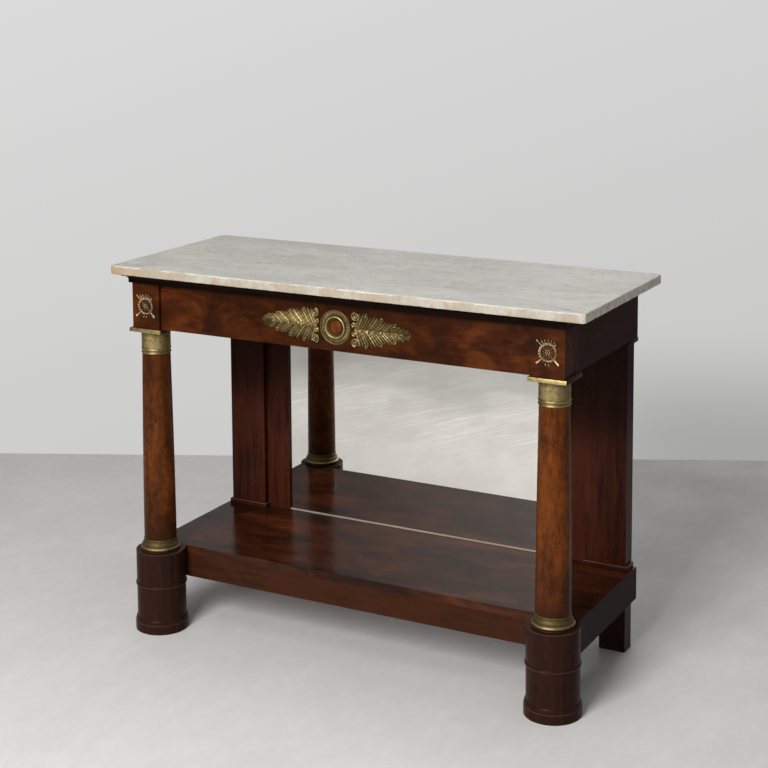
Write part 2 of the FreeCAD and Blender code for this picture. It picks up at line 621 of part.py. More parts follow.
def foot_upper():
    """Right upper drum, bored for the column above, the spigot below and the dowels."""
    column_bore = rod(COLUMN_TENON_R + JOINT_GAP,
                      Vector(COLUMN_X, COLUMN_Y, PLATFORM_TOP - COLUMN_TENON_BOTTOM - JOINT_GAP),
                      Vector(COLUMN_X, COLUMN_Y, PLATFORM_TOP))
    spigot_bore = rod(DRUM_SPIGOT_R + JOINT_GAP, Vector(COLUMN_X, COLUMN_Y, UPPER_DRUM_Z),
                      Vector(COLUMN_X, COLUMN_Y, UPPER_DRUM_Z + DRUM_SPIGOT_LENGTH + JOINT_GAP))
    bores = [column_bore, spigot_bore] + foot_dowels(FOOT_DOWEL_R + JOINT_GAP)
    return upper_drum_body(0).cut(bores)


def foot_bead():
    """Thin band between the two drums."""
    return washer(FOOT_BEAD_R, DRUM_SPIGOT_R + JOINT_GAP, FOOT_BEAD_Z, UPPER_DRUM_Z)


def foot_lower():
    """Right lower drum, reduced inside the foot ring, with a spigot on top."""
    tip = UPPER_DRUM_Z + DRUM_SPIGOT_LENGTH
    edges = path(at(0, 0), at(FOOT_SPIGOT_R, 0), at(FOOT_SPIGOT_R, FOOT_RING_HEIGHT),
                 at(LOWER_DRUM_R, FOOT_RING_HEIGHT), at(LOWER_DRUM_R, FOOT_BEAD_Z),
                 at(DRUM_SPIGOT_R, FOOT_BEAD_Z), at(DRUM_SPIGOT_R, tip), at(0, tip), at(0, 0))
    return turned(edges, COLUMN_X, COLUMN_Y)


def foot_ring():
    """Foot ring: an upright band with a rounded shoulder running up to the drum."""
    bore = FOOT_SPIGOT_R + JOINT_GAP
    shoulder = FOOT_RING_R - FOOT_ROLL_IN
    bend = at(shoulder - FOOT_ROLL_IN, FOOT_BAND_HEIGHT + FOOT_ROLL_HEIGHT * FOOT_ROLL_BEND)
    edges = path(at(bore, 0), at(FOOT_RING_R, 0), at(FOOT_RING_R, FOOT_BAND_HEIGHT),
                 at(shoulder, FOOT_BAND_HEIGHT))
    edges.append(arc(at(shoulder, FOOT_BAND_HEIGHT), bend, at(LOWER_DRUM_R, FOOT_RING_HEIGHT)))
    edges += path(at(LOWER_DRUM_R, FOOT_RING_HEIGHT), at(bore, FOOT_RING_HEIGHT), at(bore, 0))
    return turned(edges, COLUMN_X, COLUMN_Y)


# ------------------------------------------------------------------ platform
def drum_copes():
    """Both drums a little enlarged, for hollowing the platform's corners."""
    cope = upper_drum_body(COPE_GAP)
    return [mirrored(cope), cope]


def platform_top():
    """Board over the whole platform, hollowed round the drums, mortised for the pilasters."""
    board = block(-PLATFORM_SIDE, PLATFORM_SIDE, PLATFORM_FRONT, BACK, BOARD_BOTTOM, PLATFORM_TOP)
    half = POST_TENON_WIDTH / 2 + JOINT_GAP
    thick = POST_TENON_THICK / 2 + JOINT_GAP
    mortise = block(PILASTER_MIDDLE - half, PILASTER_MIDDLE + half,
                    POST_TENON_Y - thick, POST_TENON_Y + thick,
                    PLATFORM_TOP - POST_TENON_BOTTOM - JOINT_GAP, PLATFORM_TOP)
    return board.cut(drum_copes() + [mortise, mirrored(mortise)])


def platform_corner():
    """Right front corner block, hollowed to the drum and bored for the dowels."""
    body = block(PLATFORM_SIDE - PLATFORM_CORNER_SIZE, PLATFORM_SIDE,
                 PLATFORM_FRONT, PLATFORM_FRONT + PLATFORM_CORNER_SIZE,
                 PLATFORM_BOTTOM, BOARD_BOTTOM)
    return body.cut([upper_drum_body(COPE_GAP)] + foot_dowels(FOOT_DOWEL_R + JOINT_GAP))


def platform_front_rail():
    """Front face of the platform between the corner blocks."""
    half = PLATFORM_SIDE - PLATFORM_CORNER_SIZE
    rail = block(-half, half, PLATFORM_FRONT, PLATFORM_FRONT + PLATFORM_RAIL_THICK,
                 PLATFORM_BOTTOM, BOARD_BOTTOM)
    return rail.cut(drum_copes())


def platform_side_rail():
    """Right side face behind the corner block."""
    return block(PLATFORM_SIDE - PLATFORM_RAIL_THICK, PLATFORM_SIDE,
                 PLATFORM_FRONT + PLATFORM_CORNER_SIZE, BACK, PLATFORM_BOTTOM, BOARD_BOTTOM)


def platform_back_rail():
    """Back rail between the side rails."""
    half = PLATFORM_SIDE - PLATFORM_RAIL_THICK
    return block(-half, half, BACK - PLATFORM_RAIL_THICK, BACK, PLATFORM_BOTTOM, BOARD_BOTTOM)


# ------------------------------------------------------------------ rear legs and pilasters
def rear_leg():
    """Right rear leg: a plain post with a tenon up inside the platform's frame."""
    post = block(PILASTER_OUTER - REAR_LEG_WIDTH, PILASTER_OUTER, PILASTER_FRONT, BACK,
                 0, PLATFORM_BOTTOM)
    inner = PLATFORM_SIDE - PLATFORM_RAIL_THICK - LEG_TENON_WIDTH
    tenon_back = BACK - PLATFORM_RAIL_THICK
    tenon = block(inner, inner + LEG_TENON_WIDTH, tenon_back - LEG_TENON_THICK, tenon_back,
                  PLATFORM_BOTTOM, BOARD_BOTTOM)
    return post.fuse(tenon).removeSplitter()


def pilaster():
    """Right pilaster with a tenon at each end."""
    post = block(PILASTER_INNER, PILASTER_OUTER, PILASTER_FRONT, BACK, PLINTH_TOP, ABACUS_BOTTOM)
    half = POST_TENON_WIDTH / 2
    thick = POST_TENON_THICK / 2
    stub = block(PILASTER_MIDDLE - half, PILASTER_MIDDLE + half,
                 POST_TENON_Y - thick, POST_TENON_Y + thick,
                 PLATFORM_TOP - POST_TENON_BOTTOM, PLINTH_TOP)
    return post.fuse([stub, post_tenon(0)]).removeSplitter()


def pilaster_plate(out, z0, z1):
    """Flat plate round the right pilaster's foot or head, stopped at the mirror stile."""
    front_part = block(PILASTER_INNER - out, PILASTER_OUTER + out, PILASTER_FRONT - out,
                       STILE_FRONT, z0, z1)
    rear_part = block(PILASTER_INNER, PILASTER_OUTER + out, STILE_FRONT, BACK, z0, z1)
    half = POST_TENON_WIDTH / 2 + JOINT_GAP
    thick = POST_TENON_THICK / 2 + JOINT_GAP
    mortise = block(PILASTER_MIDDLE - half, PILASTER_MIDDLE + half,
                    POST_TENON_Y - thick, POST_TENON_Y + thick, z0, z1)
    return front_part.fuse(rear_part).removeSplitter().cut(mortise)


# ------------------------------------------------------------------ mirror back
def mirror_stile():
    """Right stile beside the pilaster, rebated behind for the glass and back board."""
    post = block(STILE_INNER, PILASTER_INNER, STILE_FRONT, STILE_BACK, PLATFORM_TOP, FRIEZE_BOTTOM)
    rebate = block(STILE_INNER, STILE_INNER + MIRROR_REBATE, GLASS_FRONT, STILE_BACK,
                   PLATFORM_TOP, MIRROR_RAIL_BOTTOM + MIRROR_REBATE)
    return post.cut(rebate)


def mirror_top_rail():
    """Rail over the glass between the stiles, rebated behind."""
    rail = block(-STILE_INNER, STILE_INNER, STILE_FRONT, STILE_BACK,
                 MIRROR_RAIL_BOTTOM, FRIEZE_BOTTOM)
    rebate = block(-STILE_INNER, STILE_INNER, GLASS_FRONT, STILE_BACK,
                   MIRROR_RAIL_BOTTOM, MIRROR_RAIL_BOTTOM + MIRROR_REBATE)
    return rail.cut(rebate)


def mirror_glass():
    """Silvered plate held in the rebates."""
    return block(-REBATE_EDGE, REBATE_EDGE, GLASS_FRONT, GLASS_BACK, PLATFORM_TOP, REBATE_TOP)


def glass_blocks():
    """Glazing blocks glued in the rebates behind the glass."""
    side_pitch = (REBATE_TOP - GLASS_BLOCK_WIDTH - PLATFORM_TOP) / GLASS_BLOCKS
    top_pitch = 2 * REBATE_EDGE / GLASS_BLOCKS
    blocks = []
    for index in range(GLASS_BLOCKS):
        z = PLATFORM_TOP + side_pitch * (index + 0.5) - GLASS_BLOCK_LENGTH / 2
        x = -REBATE_EDGE + top_pitch * (index + 0.5) - GLASS_BLOCK_LENGTH / 2
        side = block(STILE_INNER + MIRROR_REBATE - GLASS_BLOCK_WIDTH, STILE_INNER + MIRROR_REBATE,
                     GLASS_BACK, STILE_BACK, z, z + GLASS_BLOCK_LENGTH)
        top = block(x, x + GLASS_BLOCK_LENGTH, GLASS_BACK, STILE_BACK,
                    MIRROR_RAIL_BOTTOM + MIRROR_REBATE - GLASS_BLOCK_WIDTH,
                    MIRROR_RAIL_BOTTOM + MIRROR_REBATE)
        blocks += [side, mirrored(side), top]
    return blocks


def mirror_backboard():
    """Thin board fixed over the backs of the stiles and the top rail."""
    return block(-BACKBOARD_HALF, BACKBOARD_HALF, STILE_BACK, STILE_BACK + BACKBOARD_THICK,
                 PLATFORM_TOP, BACKBOARD_TOP)


def mirror_fillet():
    """Polished bead along the glass's foot, round in front."""
    start = -STILE_INNER
    low_front = Vector(start, GLASS_FRONT - FILLET_WIDTH, PLATFORM_TOP)
    round_top = Vector(start, GLASS_FRONT - FILLET_WIDTH * (1 - FILLET_ROUND_IN),
                       PLATFORM_TOP + FILLET_HEIGHT * FILLET_ROUND_UP)
    high_back = Vector(start, GLASS_FRONT, PLATFORM_TOP + FILLET_HEIGHT)
    low_back = Vector(start, GLASS_FRONT, PLATFORM_TOP)
    edges = [arc(low_front, round_top, high_back)] + path(high_back, low_back, low_front)
    return Part.Face(Part.Wire(edges)).extrude(Vector(2 * STILE_INNER, 0, 0))


# ------------------------------------------------------------------ gilt mounts
def on_front(x, up, face):
    """A point on a front face, up from the frieze's middle line."""
    return Vector(x, face, FRIEZE_MIDDLE + up)


def ring_mount():
    """Round mount on the drawer front: a raised rim and a leafed band round a bare middle."""
    face = DRAWER_FACE
    width = RING_OUTER_R - RING_INNER_R
    crest = face - RING_RELIEF
    edge = face - RING_EDGE_RELIEF
    outer = Vector(RING_OUTER_R, face, 0)
    outer_edge = Vector(RING_OUTER_R, edge, 0)
    band_top = Vector(RING_INNER_R + width * RING_CREST, crest, 0)
    groove = Vector(RING_INNER_R + width * RING_GROOVE, edge, 0)
    bead_top = Vector(RING_INNER_R + width * RING_BEAD, crest, 0)
    inner_edge = Vector(RING_INNER_R, edge, 0)
    inner = Vector(RING_INNER_R, face, 0)
    edges = [line(outer, outer_edge), arc(outer_edge, band_top, groove)]
    edges += path(groove, bead_top, inner_edge, inner, outer)
    ring = Part.Face(Part.Wire(edges)).revolve(Vector(0, 0, 0), Vector(0, 1, 0), 360)
    ring.translate(Vector(0, 0, FRIEZE_MIDDLE))
    return ring


def leaf_half_height(share):
    """Half height of the leaf along its length, from the ring's end to the tip."""
    return SPRAY_HALF_HEIGHT + (SPRAY_TIP_HALF_HEIGHT - SPRAY_HALF_HEIGHT) * share


def spray_edge(side):
    """Lobed edge of the right leaf, above (+1) or below (-1) its rib."""
    body = SPRAY_LENGTH - SPRAY_TIP_HALF_HEIGHT
    pitch = (body - VOLUTE_R) / SPRAY_LOBES
    edges = []
    for index in range(SPRAY_LOBES):
        start = VOLUTE_R + pitch * index
        end = start + pitch
        first = leaf_half_height(start / body) * SPRAY_NOTCH
        crest = leaf_half_height((start + pitch / 2) / body)
        last = leaf_half_height(end / body) * SPRAY_NOTCH
        edges.append(arc(on_front(SPRAY_START + start, side * first, DRAWER_FACE),
                         on_front(SPRAY_START + start + pitch / 2, side * crest, DRAWER_FACE),
                         on_front(SPRAY_START + end, side * last, DRAWER_FACE)))
    return edges


def spray():
    """Right acanthus spray: a lobed leaf with a round tip and two volutes by the ring."""
    body = SPRAY_LENGTH - SPRAY_TIP_HALF_HEIGHT
    upper = spray_edge(1)
    lower = spray_edge(-1)
    tip_half = SPRAY_TIP_HALF_HEIGHT * SPRAY_NOTCH
    root_half = leaf_half_height(VOLUTE_R / body) * SPRAY_NOTCH
    tip = arc(on_front(SPRAY_START + body, tip_half, DRAWER_FACE),
              on_front(SPRAY_START + SPRAY_LENGTH, 0, DRAWER_FACE),
              on_front(SPRAY_START + body, -tip_half, DRAWER_FACE))
    root = line(on_front(SPRAY_START + VOLUTE_R, -root_half, DRAWER_FACE),
                on_front(SPRAY_START + VOLUTE_R, root_half, DRAWER_FACE))
    outline = Part.Wire(Part.__sortEdges__(upper + [tip] + lower + [root]))
    leaf = Part.Face(outline).extrude(Vector(0, -MOUNT_THICK, 0))
    curl_x = SPRAY_START + VOLUTE_R
    curl_up = SPRAY_HALF_HEIGHT - VOLUTE_R
    curls = [rod(VOLUTE_R, on_front(curl_x, side * curl_up, DRAWER_FACE),
                 on_front(curl_x, side * curl_up, DRAWER_FACE - MOUNT_THICK)) for side in (1, -1)]
    return leaf.fuse(curls).removeSplitter()


def torch(angle):
    """One of the two crossed torches behind the wreath, widening to its flame."""
    half = TORCH_WIDTH / 2
    flare = TORCH_FLARE / 2
    neck = TORCH_REACH - TORCH_FLARE
    outline = [(-TORCH_REACH, -half), (neck, -half), (TORCH_REACH, -flare),
               (TORCH_REACH, flare), (neck, half), (-TORCH_REACH, half)]
    points = [on_front(COLUMN_X + x * math.cos(angle) - z * math.sin(angle),
                       x * math.sin(angle) + z * math.cos(angle), BLOCK_FRONT) for x, z in outline]
    return prism(points, Vector(0, -TORCH_THICK, 0))


def wreath_mount():
    """Right corner mount: a wreath over crossed torches, a bow above and two drops below."""
    def disc(radius, x, up, thick):
        start = on_front(COLUMN_X + x, up, BLOCK_FRONT)
        return rod(radius, start, start - Vector(0, thick, 0))
    wreath = disc(WREATH_R, 0, 0, MOUNT_THICK).cut(
        disc(WREATH_R - WREATH_BAND, 0, 0, MOUNT_THICK))
    pieces = [torch(math.radians(-90 - TORCH_TURN)), torch(math.radians(-90 + TORCH_TURN)),
              disc(ROSETTE_R, 0, 0, MOUNT_THICK)]
    for side in (-1, 1):
        pieces.append(disc(BOW_R, side * BOW_SPREAD, WREATH_R + BOW_R - BOW_SINK, MOUNT_THICK))
        pieces.append(disc(DROP_R, side * DROP_SPREAD, DROP_SINK - WREATH_R - DROP_R, MOUNT_THICK))
    return wreath.fuse(pieces).removeSplitter()


# ------------------------------------------------------------------ all nodes
def both(*shapes):
    """The given right-hand pieces with their left-hand copies."""
    return list(shapes) + [mirrored(shape) for shape in shapes]


def single_nodes():
    """Pieces on the middle line, which the table has once."""
    return {
        "marble_top": marble_top(),
        "cornice_front": cornice_front(),
        "top_back_rail": top_back_rail(),
        "top_cross_rail": top_cross_rail(),
        "frieze_back_rail": frieze_back_rail(),
        "drawer_lower_bearer": lower_bearer(0),
        "drawer_upper_bearer": upper_bearer(0),
        "drawer_front": drawer_front(),
        "drawer_back": drawer_back(),
        "drawer_bottom": drawer_bottom(0),
        "platform_top": platform_top(),
        "platform_front_rail": platform_front_rail(),
        "platform_back_rail": platform_back_rail(),
        "mirror_top_rail": mirror_top_rail(),
        "mirror_glass": mirror_glass(),
        "mirror_backboard": mirror_backboard(),
        "mirror_fillet": mirror_fillet(),
        "ring_mount": ring_mount(),
        "glass_blocks": Part.makeCompound(glass_blocks()),
    }


def grouped_nodes():
    """Small like pieces that share a node, given by their right-hand solids."""
    return {
        "drawer_runners": [drawer_runner()],
        "drawer_guides": [drawer_guide()],
        "drawer_kickers": [drawer_kicker()],
        "abacus_plates": [abacus()],
        "abacus_strips": [abacus_strip()],
        "base_discs": [base_disc()],
        "foot_beads": [foot_bead()],
        "foot_dowels": foot_dowels(FOOT_DOWEL_R),
        "platform_corners": [platform_corner()],
        "platform_side_rails": [platform_side_rail()],
        "pilaster_plinths": [pilaster_plate(PLINTH_OUT, PLATFORM_TOP, PLINTH_TOP)],
        "pilaster_caps": [pilaster_plate(CAP_OUT, ABACUS_BOTTOM, FRIEZE_BOTTOM)],
        "wreath_mounts": [wreath_mount()],
        "spray_mounts": [spray()],
    }


def paired_nodes():
    """Pieces with a node for each side, given by their right-hand solid."""
    return {
        "cornice": cornice_right(),
        "side_rail": side_rail(0),
        "corner_block": corner_block(),
        "drawer_side": drawer_side(),
        "capital": capital(),
        "column": column(),
        "base_ring": base_ring(),
        "foot_upper": foot_upper(),
        "foot_lower": foot_lower(),
        "foot_ring": foot_ring(),
        "rear_leg": rear_leg(),
        "pilaster": pilaster(),
        "mirror_stile": mirror_stile(),
    }


def main():
    os.makedirs("parts", exist_ok=True)
    nodes = single_nodes()
    for name, shapes in grouped_nodes().items():
        nodes[name] = Part.makeCompound(both(*shapes))
    for name, shape in paired_nodes().items():
        nodes[name + "_right"] = shape
        nodes[name + "_left"] = mirrored(shape)
    for name, shape in sorted(nodes.items()):
        shape.exportStep(os.path.join("parts", name + ".step"))


main()
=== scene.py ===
"""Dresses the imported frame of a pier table: turned, carved and veneered pieces, finishes and a studio."""

import math
from functools import reduce

import bmesh
import bpy
import numpy as np
from mathutils import Matrix, Vector


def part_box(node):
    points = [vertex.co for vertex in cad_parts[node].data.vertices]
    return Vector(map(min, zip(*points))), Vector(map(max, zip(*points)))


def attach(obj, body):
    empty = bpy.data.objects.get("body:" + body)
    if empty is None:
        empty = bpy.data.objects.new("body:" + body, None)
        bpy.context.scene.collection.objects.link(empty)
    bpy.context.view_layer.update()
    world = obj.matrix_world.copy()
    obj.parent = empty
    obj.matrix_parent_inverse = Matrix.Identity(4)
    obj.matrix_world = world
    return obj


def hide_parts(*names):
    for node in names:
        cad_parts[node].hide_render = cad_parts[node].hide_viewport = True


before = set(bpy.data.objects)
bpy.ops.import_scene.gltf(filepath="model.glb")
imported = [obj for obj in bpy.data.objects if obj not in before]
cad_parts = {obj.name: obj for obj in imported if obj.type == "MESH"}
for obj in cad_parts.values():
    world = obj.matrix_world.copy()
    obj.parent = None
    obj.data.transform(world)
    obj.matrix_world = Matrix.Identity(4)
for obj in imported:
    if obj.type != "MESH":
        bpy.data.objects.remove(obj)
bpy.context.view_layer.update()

bl_info = {
    "name": "Pier Table Dressing",
    "version": (1, 0, 0),
    "blender": (4, 5, 0),
    "location": "3D View > Sidebar > Pier Table",
    "description": "Turned columns, gilt mounts, veneers, marble and a plain studio for a pier table",
    "category": "Object",
}

MM = 0.001


# ---------------- places taken from the frame
def middle(node, axis):
    """Middle of a node's box along one axis."""
    low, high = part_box(node)
    return (low[axis] + high[axis]) / 2


AXIS_X = middle("foot_upper_right", 0)
AXIS_Y = middle("foot_upper_right", 1)
DRAWER_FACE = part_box("drawer_front")[0].y
BLOCK_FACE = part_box("corner_block_right")[0].y
MOUNT_LEVEL = middle("ring_mount", 2)
BACKBOARD_LOW, BACKBOARD_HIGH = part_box("mirror_backboard")
SIDES = {"right": 1, "left": -1}
MIRRORED = np.array([-1, 1, 1])
SLAB_STEP = 5 * MM                  # between points along the slab's straight edges

# Where a finish changes, in metres from the object's own origin.
FRIEZE_SHADOW_HEIGHTS = (0.43, 0.56)                 # heights over which the mirror frame darkens: a painted shadow cast by the frieze
CORNICE_SHADE_HEIGHTS = (0.796, 0.834)              # heights over which a painted shade darkens the frieze under the cornice
HEART = 260 * MM                    # half width of the darker middle of the frieze
GLASS_FOOT = (0.19, 0.26)           # heights over which the dust on the glass thins out
SLAB_LEFT_END = (-0.585, -0.46)     # x over which the slab's warm left end fades
SLAB_PAINTED_LIGHT_END = (0.570, 0.584)     # x over which a painted light makes the slab's right end paler
SAWN_END = (0.560, 0.584)           # x over which its saw marks show more
SCUFFED_FLOOR = (-1.3, -0.7)        # y over which the floor's scuffs fade towards the table
FLOOR_SHADE_REACH = (-2.1, -0.9)            # y over which the floor's painted shade, far out in front, lifts towards the table

FINISH = {}


def srgb(red, green, blue):
    """Scene-linear colour from display values between 0 and 255."""
    levels = np.array([red, green, blue]) / 255
    return tuple(float(v) for v in np.where(levels < 0.04045, levels / 12.92, ((levels + 0.055) / 1.055) ** 2.4))


def tint(label, description, *levels):
    """A colour property whose default is given by display values."""
    return bpy.props.FloatVectorProperty(name=label, description=description, subtype="COLOR",
                                         default=srgb(*levels))


def metres(label, description, value):
    """A length property."""
    return bpy.props.FloatProperty(name=label, description=description, unit="LENGTH", default=value)


def degrees(label, description, value):
    """A rotation property whose default is given in degrees."""
    return bpy.props.FloatProperty(name=label, description=description, unit="ROTATION",
                                   default=math.radians(value))


def point(label, description, *xyz):
    """A property for a point in the room."""
    return bpy.props.FloatVectorProperty(name=label, description=description, subtype="TRANSLATION",
                                         unit="LENGTH", default=xyz)


def watts(label, description, value):
    """A power property for a lamp."""
    return bpy.props.FloatProperty(name=label, description=description, unit="POWER", default=value)


# ---------------- values a user would change
class PierTableSizes(bpy.types.PropertyGroup):
    """Sizes of the turned and carved detail."""

    turning_steps: bpy.props.IntProperty(
        name="Turning steps", description="Points round a turned piece", default=128, min=24)
    lattice_cells: bpy.props.IntProperty(
        name="Lattice cells", description="Diamonds round a capital", default=34, min=8)
    lattice_rows: bpy.props.IntProperty(
        name="Lattice rows", description="Diamonds up a capital", default=6, min=2)
    lattice_depth: metres("Lattice depth", "Relief of the capital's diamonds", 0.9 * MM)
    leaf_relief: metres("Leaf relief", "Height of the spray's leaflets", 3.0 * MM)
    slab_front_radius: metres("Slab front radius", "Plan radius of the marble's front corners", 11.0 * MM)
    slab_back_radius: metres("Slab back radius", "Plan radius of the marble's back corners", 14.0 * MM)
    slab_ease: metres("Slab ease", "Mean rounding of the marble's arrises", 2.8 * MM)
    edge_ease: metres("Edge ease", "Rounding of the small boards' edges", 0.8 * MM)


class PierTableFinishes(bpy.types.PropertyGroup):
    """Colours of the woods, the gilding and the stone."""

    flame_dark: tint("Flame dark", "Shade in the flame figure", 41, 18, 9)
    flame_middle: tint("Flame middle", "Body of the flame veneer", 65, 30, 11)
    flame_light: tint("Flame light", "Plumes of the flame figure", 92, 45, 16)
    column_dark: tint("Column dark", "Shade in the columns' veneer", 56, 27, 10)
    column_light: tint("Column light", "Light in the columns' veneer", 116, 60, 20)
    mahogany_dark: tint("Mahogany dark", "Shade of the plain mahogany", 29, 12, 8)
    mahogany_light: tint("Mahogany light", "Light of the plain mahogany", 66, 31, 19)
    # Near black: the cornice's dark wood together with a painted shade under the slab's overhang.
    cornice_dark: tint("Cornice dark", "Shade of the cornice's old polish", 9, 4, 3)
    cornice_light: tint("Cornice light", "Light of the cornice's old polish", 21, 10, 6)
    stained_dark: tint("Stained dark", "Shade of the dark feet and platform", 23, 12, 10)
    stained_light: tint("Stained light", "Light of the dark feet and platform", 47, 26, 20)
    platform_dark: tint("Platform dark", "Shade in the platform's figured veneer", 28, 14, 10)
    platform_middle: tint("Platform middle", "Body of the platform's figured veneer", 58, 29, 16)
    platform_light: tint("Platform light", "Light of the platform's figured veneer", 88, 43, 22)
    # Wear and a painted highlight: the pale edge colour stands in for the light caught along rounded edges.
    rubbed_edge_highlight: tint("Rubbed edge", "Pale rubbed edges of the feet and plinths", 100, 72, 62)
    rail_dark: tint("Rail dark", "Shade of the platform's front", 30, 16, 10)
    rail_light: tint("Rail light", "Light of the platform's front", 60, 32, 19)
    # The bead's pale tone is a painted highlight along its rounded top, on a worn bead.
    fillet_dark: tint("Bead dark", "Shade of the worn bead at the mirror's foot", 122, 108, 96)
    fillet_light: tint("Bead light", "Light of the worn bead at the mirror's foot", 158, 146, 134)
    carcase_dark: tint("Carcase dark", "Shade of the carcase wood", 88, 62, 40)
    carcase_light: tint("Carcase light", "Light of the carcase wood", 150, 112, 74)
    gilt_bright: tint("Gilt bright", "Rubbed gilding on the crests", 196, 176, 122)
    gilt_dull: tint("Gilt dull", "Dulled gilding in the hollows", 66, 51, 28)
    worn_bright: tint("Worn gilt bright", "Crests of the worn corner mounts", 166, 147, 114)
    worn_dull: tint("Worn gilt dull", "Hollows of the worn corner mounts", 62, 46, 30)
    marble_pale: tint("Marble pale", "Ground of the marble", 214, 211, 204)
    marble_grey: tint("Marble grey", "Clouds in the marble", 197, 195, 188)
    marble_edge: tint("Marble edge", "Warmer tone of the slab's edges", 172, 162, 143)


class PierTableStudio(bpy.types.PropertyGroup):
    """Camera, lamps, floor and background."""

    camera_place: point("Camera place", "Where the camera stands", 1.7806, -3.2643, 1.5858)
    camera_yaw: degrees("Camera yaw", "Turn of the camera round the upright", 27.896)
    camera_pitch: degrees("Camera pitch", "Tilt of the camera downwards", 6.841)
    camera_roll: degrees("Camera roll", "Roll of the camera", -0.271)
    camera_lens: bpy.props.FloatProperty(
        name="Camera lens", description="Focal length in millimetres", unit="CAMERA", default=78.11)
    camera_shift: bpy.props.FloatVectorProperty(
        name="Camera shift", description="Shift of the lens, as shares of the frame", size=2,
        default=(-0.0214, -0.3027))
    floor_colour: tint("Floor", "Colour of the floor", 227, 224, 222)
    floor_reach: metres("Floor reach", "From the camera's foot to the floor's far edge", 5.106)
    floor_turn: degrees("Floor turn", "Turn of the floor's far edge off square to the camera", -2.747)
    backdrop_low: tint("Backdrop low", "Background near the floor", 201, 201, 200)
    backdrop_high: tint("Backdrop high", "Background higher up", 216, 216, 216)
    key_power: watts("Key lamp", "Power of the soft lamp high in front", 163.0)
    key_place: point("Key lamp place", "Where the key lamp hangs", 0.08, -3.9, 2.8)
    key_size: metres("Key lamp size", "Side of the key lamp", 1.7)
    low_power: watts("Low lamp", "Power of the soft lamp low in front", 36.0)
    low_place: point("Low lamp place", "Where the low lamp stands", -0.2, -3.9, 1.15)
    low_size: metres("Low lamp size", "Side of the low lamp", 1.5)
    top_power: watts("Top lamp", "Power of the soft lamp overhead", 16.0)
    top_place: point("Top lamp place", "Where the top lamp hangs", 0.1, -0.6, 3.4)
    top_size: metres("Top lamp size", "Side of the top lamp", 2.8)
    fill_strength: bpy.props.FloatProperty(
        name="Fill", description="Strength of the even light from all round", default=0.205)


# ---------------- surfaces
def curve(start, control, end, count=8):
    """Points (1-u)^2 a + 2u(1-u) c + u^2 b for u from 0 to 1: a bend pulled towards its control point."""
    u = np.linspace(0, 1, count)[:, None]
    a, c, b = (np.asarray(p, float) for p in (start, control, end))
    return (1 - u) ** 2 * a + 2 * u * (1 - u) * c + u ** 2 * b


def profile(*parts):
    """Single points and curves strung together into one outline of (radius, height) in millimetres."""
    return np.concatenate([np.atleast_2d(np.asarray(part, float)) for part in parts]) * MM


def around(steps):
    """Angles round a full turn, as one row."""
    return np.linspace(0, 2 * np.pi, steps, endpoint=False)[None, :]


def half_round(across):
    """Height sqrt(1 - p^2) of a half-round over p from -1 to 1, and nothing outside it."""
    return np.sqrt(np.clip(1 - across ** 2, 0, 1))


def spun(outline, steps, axis_x, axis_y, swell=None):
    """Outline spun about an upright axis: x = r cos t, y = r sin t. swell adds a relief to r, by (t, height)."""
    turn = around(steps)
    radius, height = outline[:, :1], outline[:, 1:]
    if swell is not None:
        radius = radius + swell(turn, height)
    flat = np.ones_like(turn)
    return np.stack([axis_x + radius * np.cos(turn), axis_y + radius * np.sin(turn), height * flat], -1)


def blade(line, half_width, rise, face, base):
    """A half-round section carried along a flat line on a front face.

    Across the line the section is w cos a sideways and h sin a outwards for a from 0 to pi; width and rise
    shrink to nothing at both ends, which closes them, and the flat back closes the section.
    """
    line = np.asarray(line, float)
    along = np.gradient(line, axis=0)
    along /= np.linalg.norm(along, axis=1, keepdims=True) + 1e-12
    across = np.stack([-along[:, 1], along[:, 0]], -1)
    angle = np.linspace(0, np.pi, 9)
    side = line[:, None, :] + across[:, None, :] * (half_width[:, None] * np.cos(angle)[None, :])[..., None]
    out = base + rise[:, None] * np.sin(angle)[None, :]
    points = np.stack([side[..., 0], face - out, side[..., 1]], -1)
    back = points[:, [-1, 0]].copy()
    back[..., 1] = face
    return np.concatenate([points, back], 1)


def polar_relief(radii, steps, height, centre_x, centre_z, face):
    """A relief on a front face in polar coordinates: height(r, t) outwards, closed by a flat back."""
    turn = around(steps)
    r = np.asarray(radii, float)[:, None]
    out = height(r, turn)
    front = np.stack([centre_x + r * np.cos(turn), face - out, centre_z + r * np.sin(turn)], -1)
    back = front[::-1].copy()
    back[..., 1] = face
    return np.concatenate([front, back])


def eased_board(low, high, ease):
    """A board with quarter-round edges: a rounded rectangle carried upwards, drawn in at both ends."""
    low, high = np.asarray(low, float), np.asarray(high, float)
    centre, half = (low[:2] + high[:2]) / 2, (high[:2] - low[:2]) / 2 - ease
    angle = (np.arange(4)[:, None] * np.pi / 2 + np.linspace(0, np.pi / 2, 4)[None, :]).ravel()
    corner = np.repeat(np.array([[1, 1], [-1, 1], [-1, -1], [1, -1]]), 4, axis=0) * half
    swing = np.linspace(0, np.pi / 2, 4)
    radius = np.concatenate([ease * np.sin(swing), ease * np.cos(swing)])
    height = np.concatenate([low[2] + ease * (1 - np.cos(swing)), high[2] - ease * (1 - np.sin(swing))])
    flat = centre + corner[None] + radius[:, None, None] * np.stack([np.cos(angle), np.sin(angle)], -1)[None]
    rings = np.concatenate([flat, np.broadcast_to(height[:, None, None], flat.shape[:2] + (1,))], -1)
    caps = [np.broadcast_to([*centre, z], rings[:1].shape) for z in (low[2], high[2])]
    return np.concatenate([caps[0], rings, caps[1]])


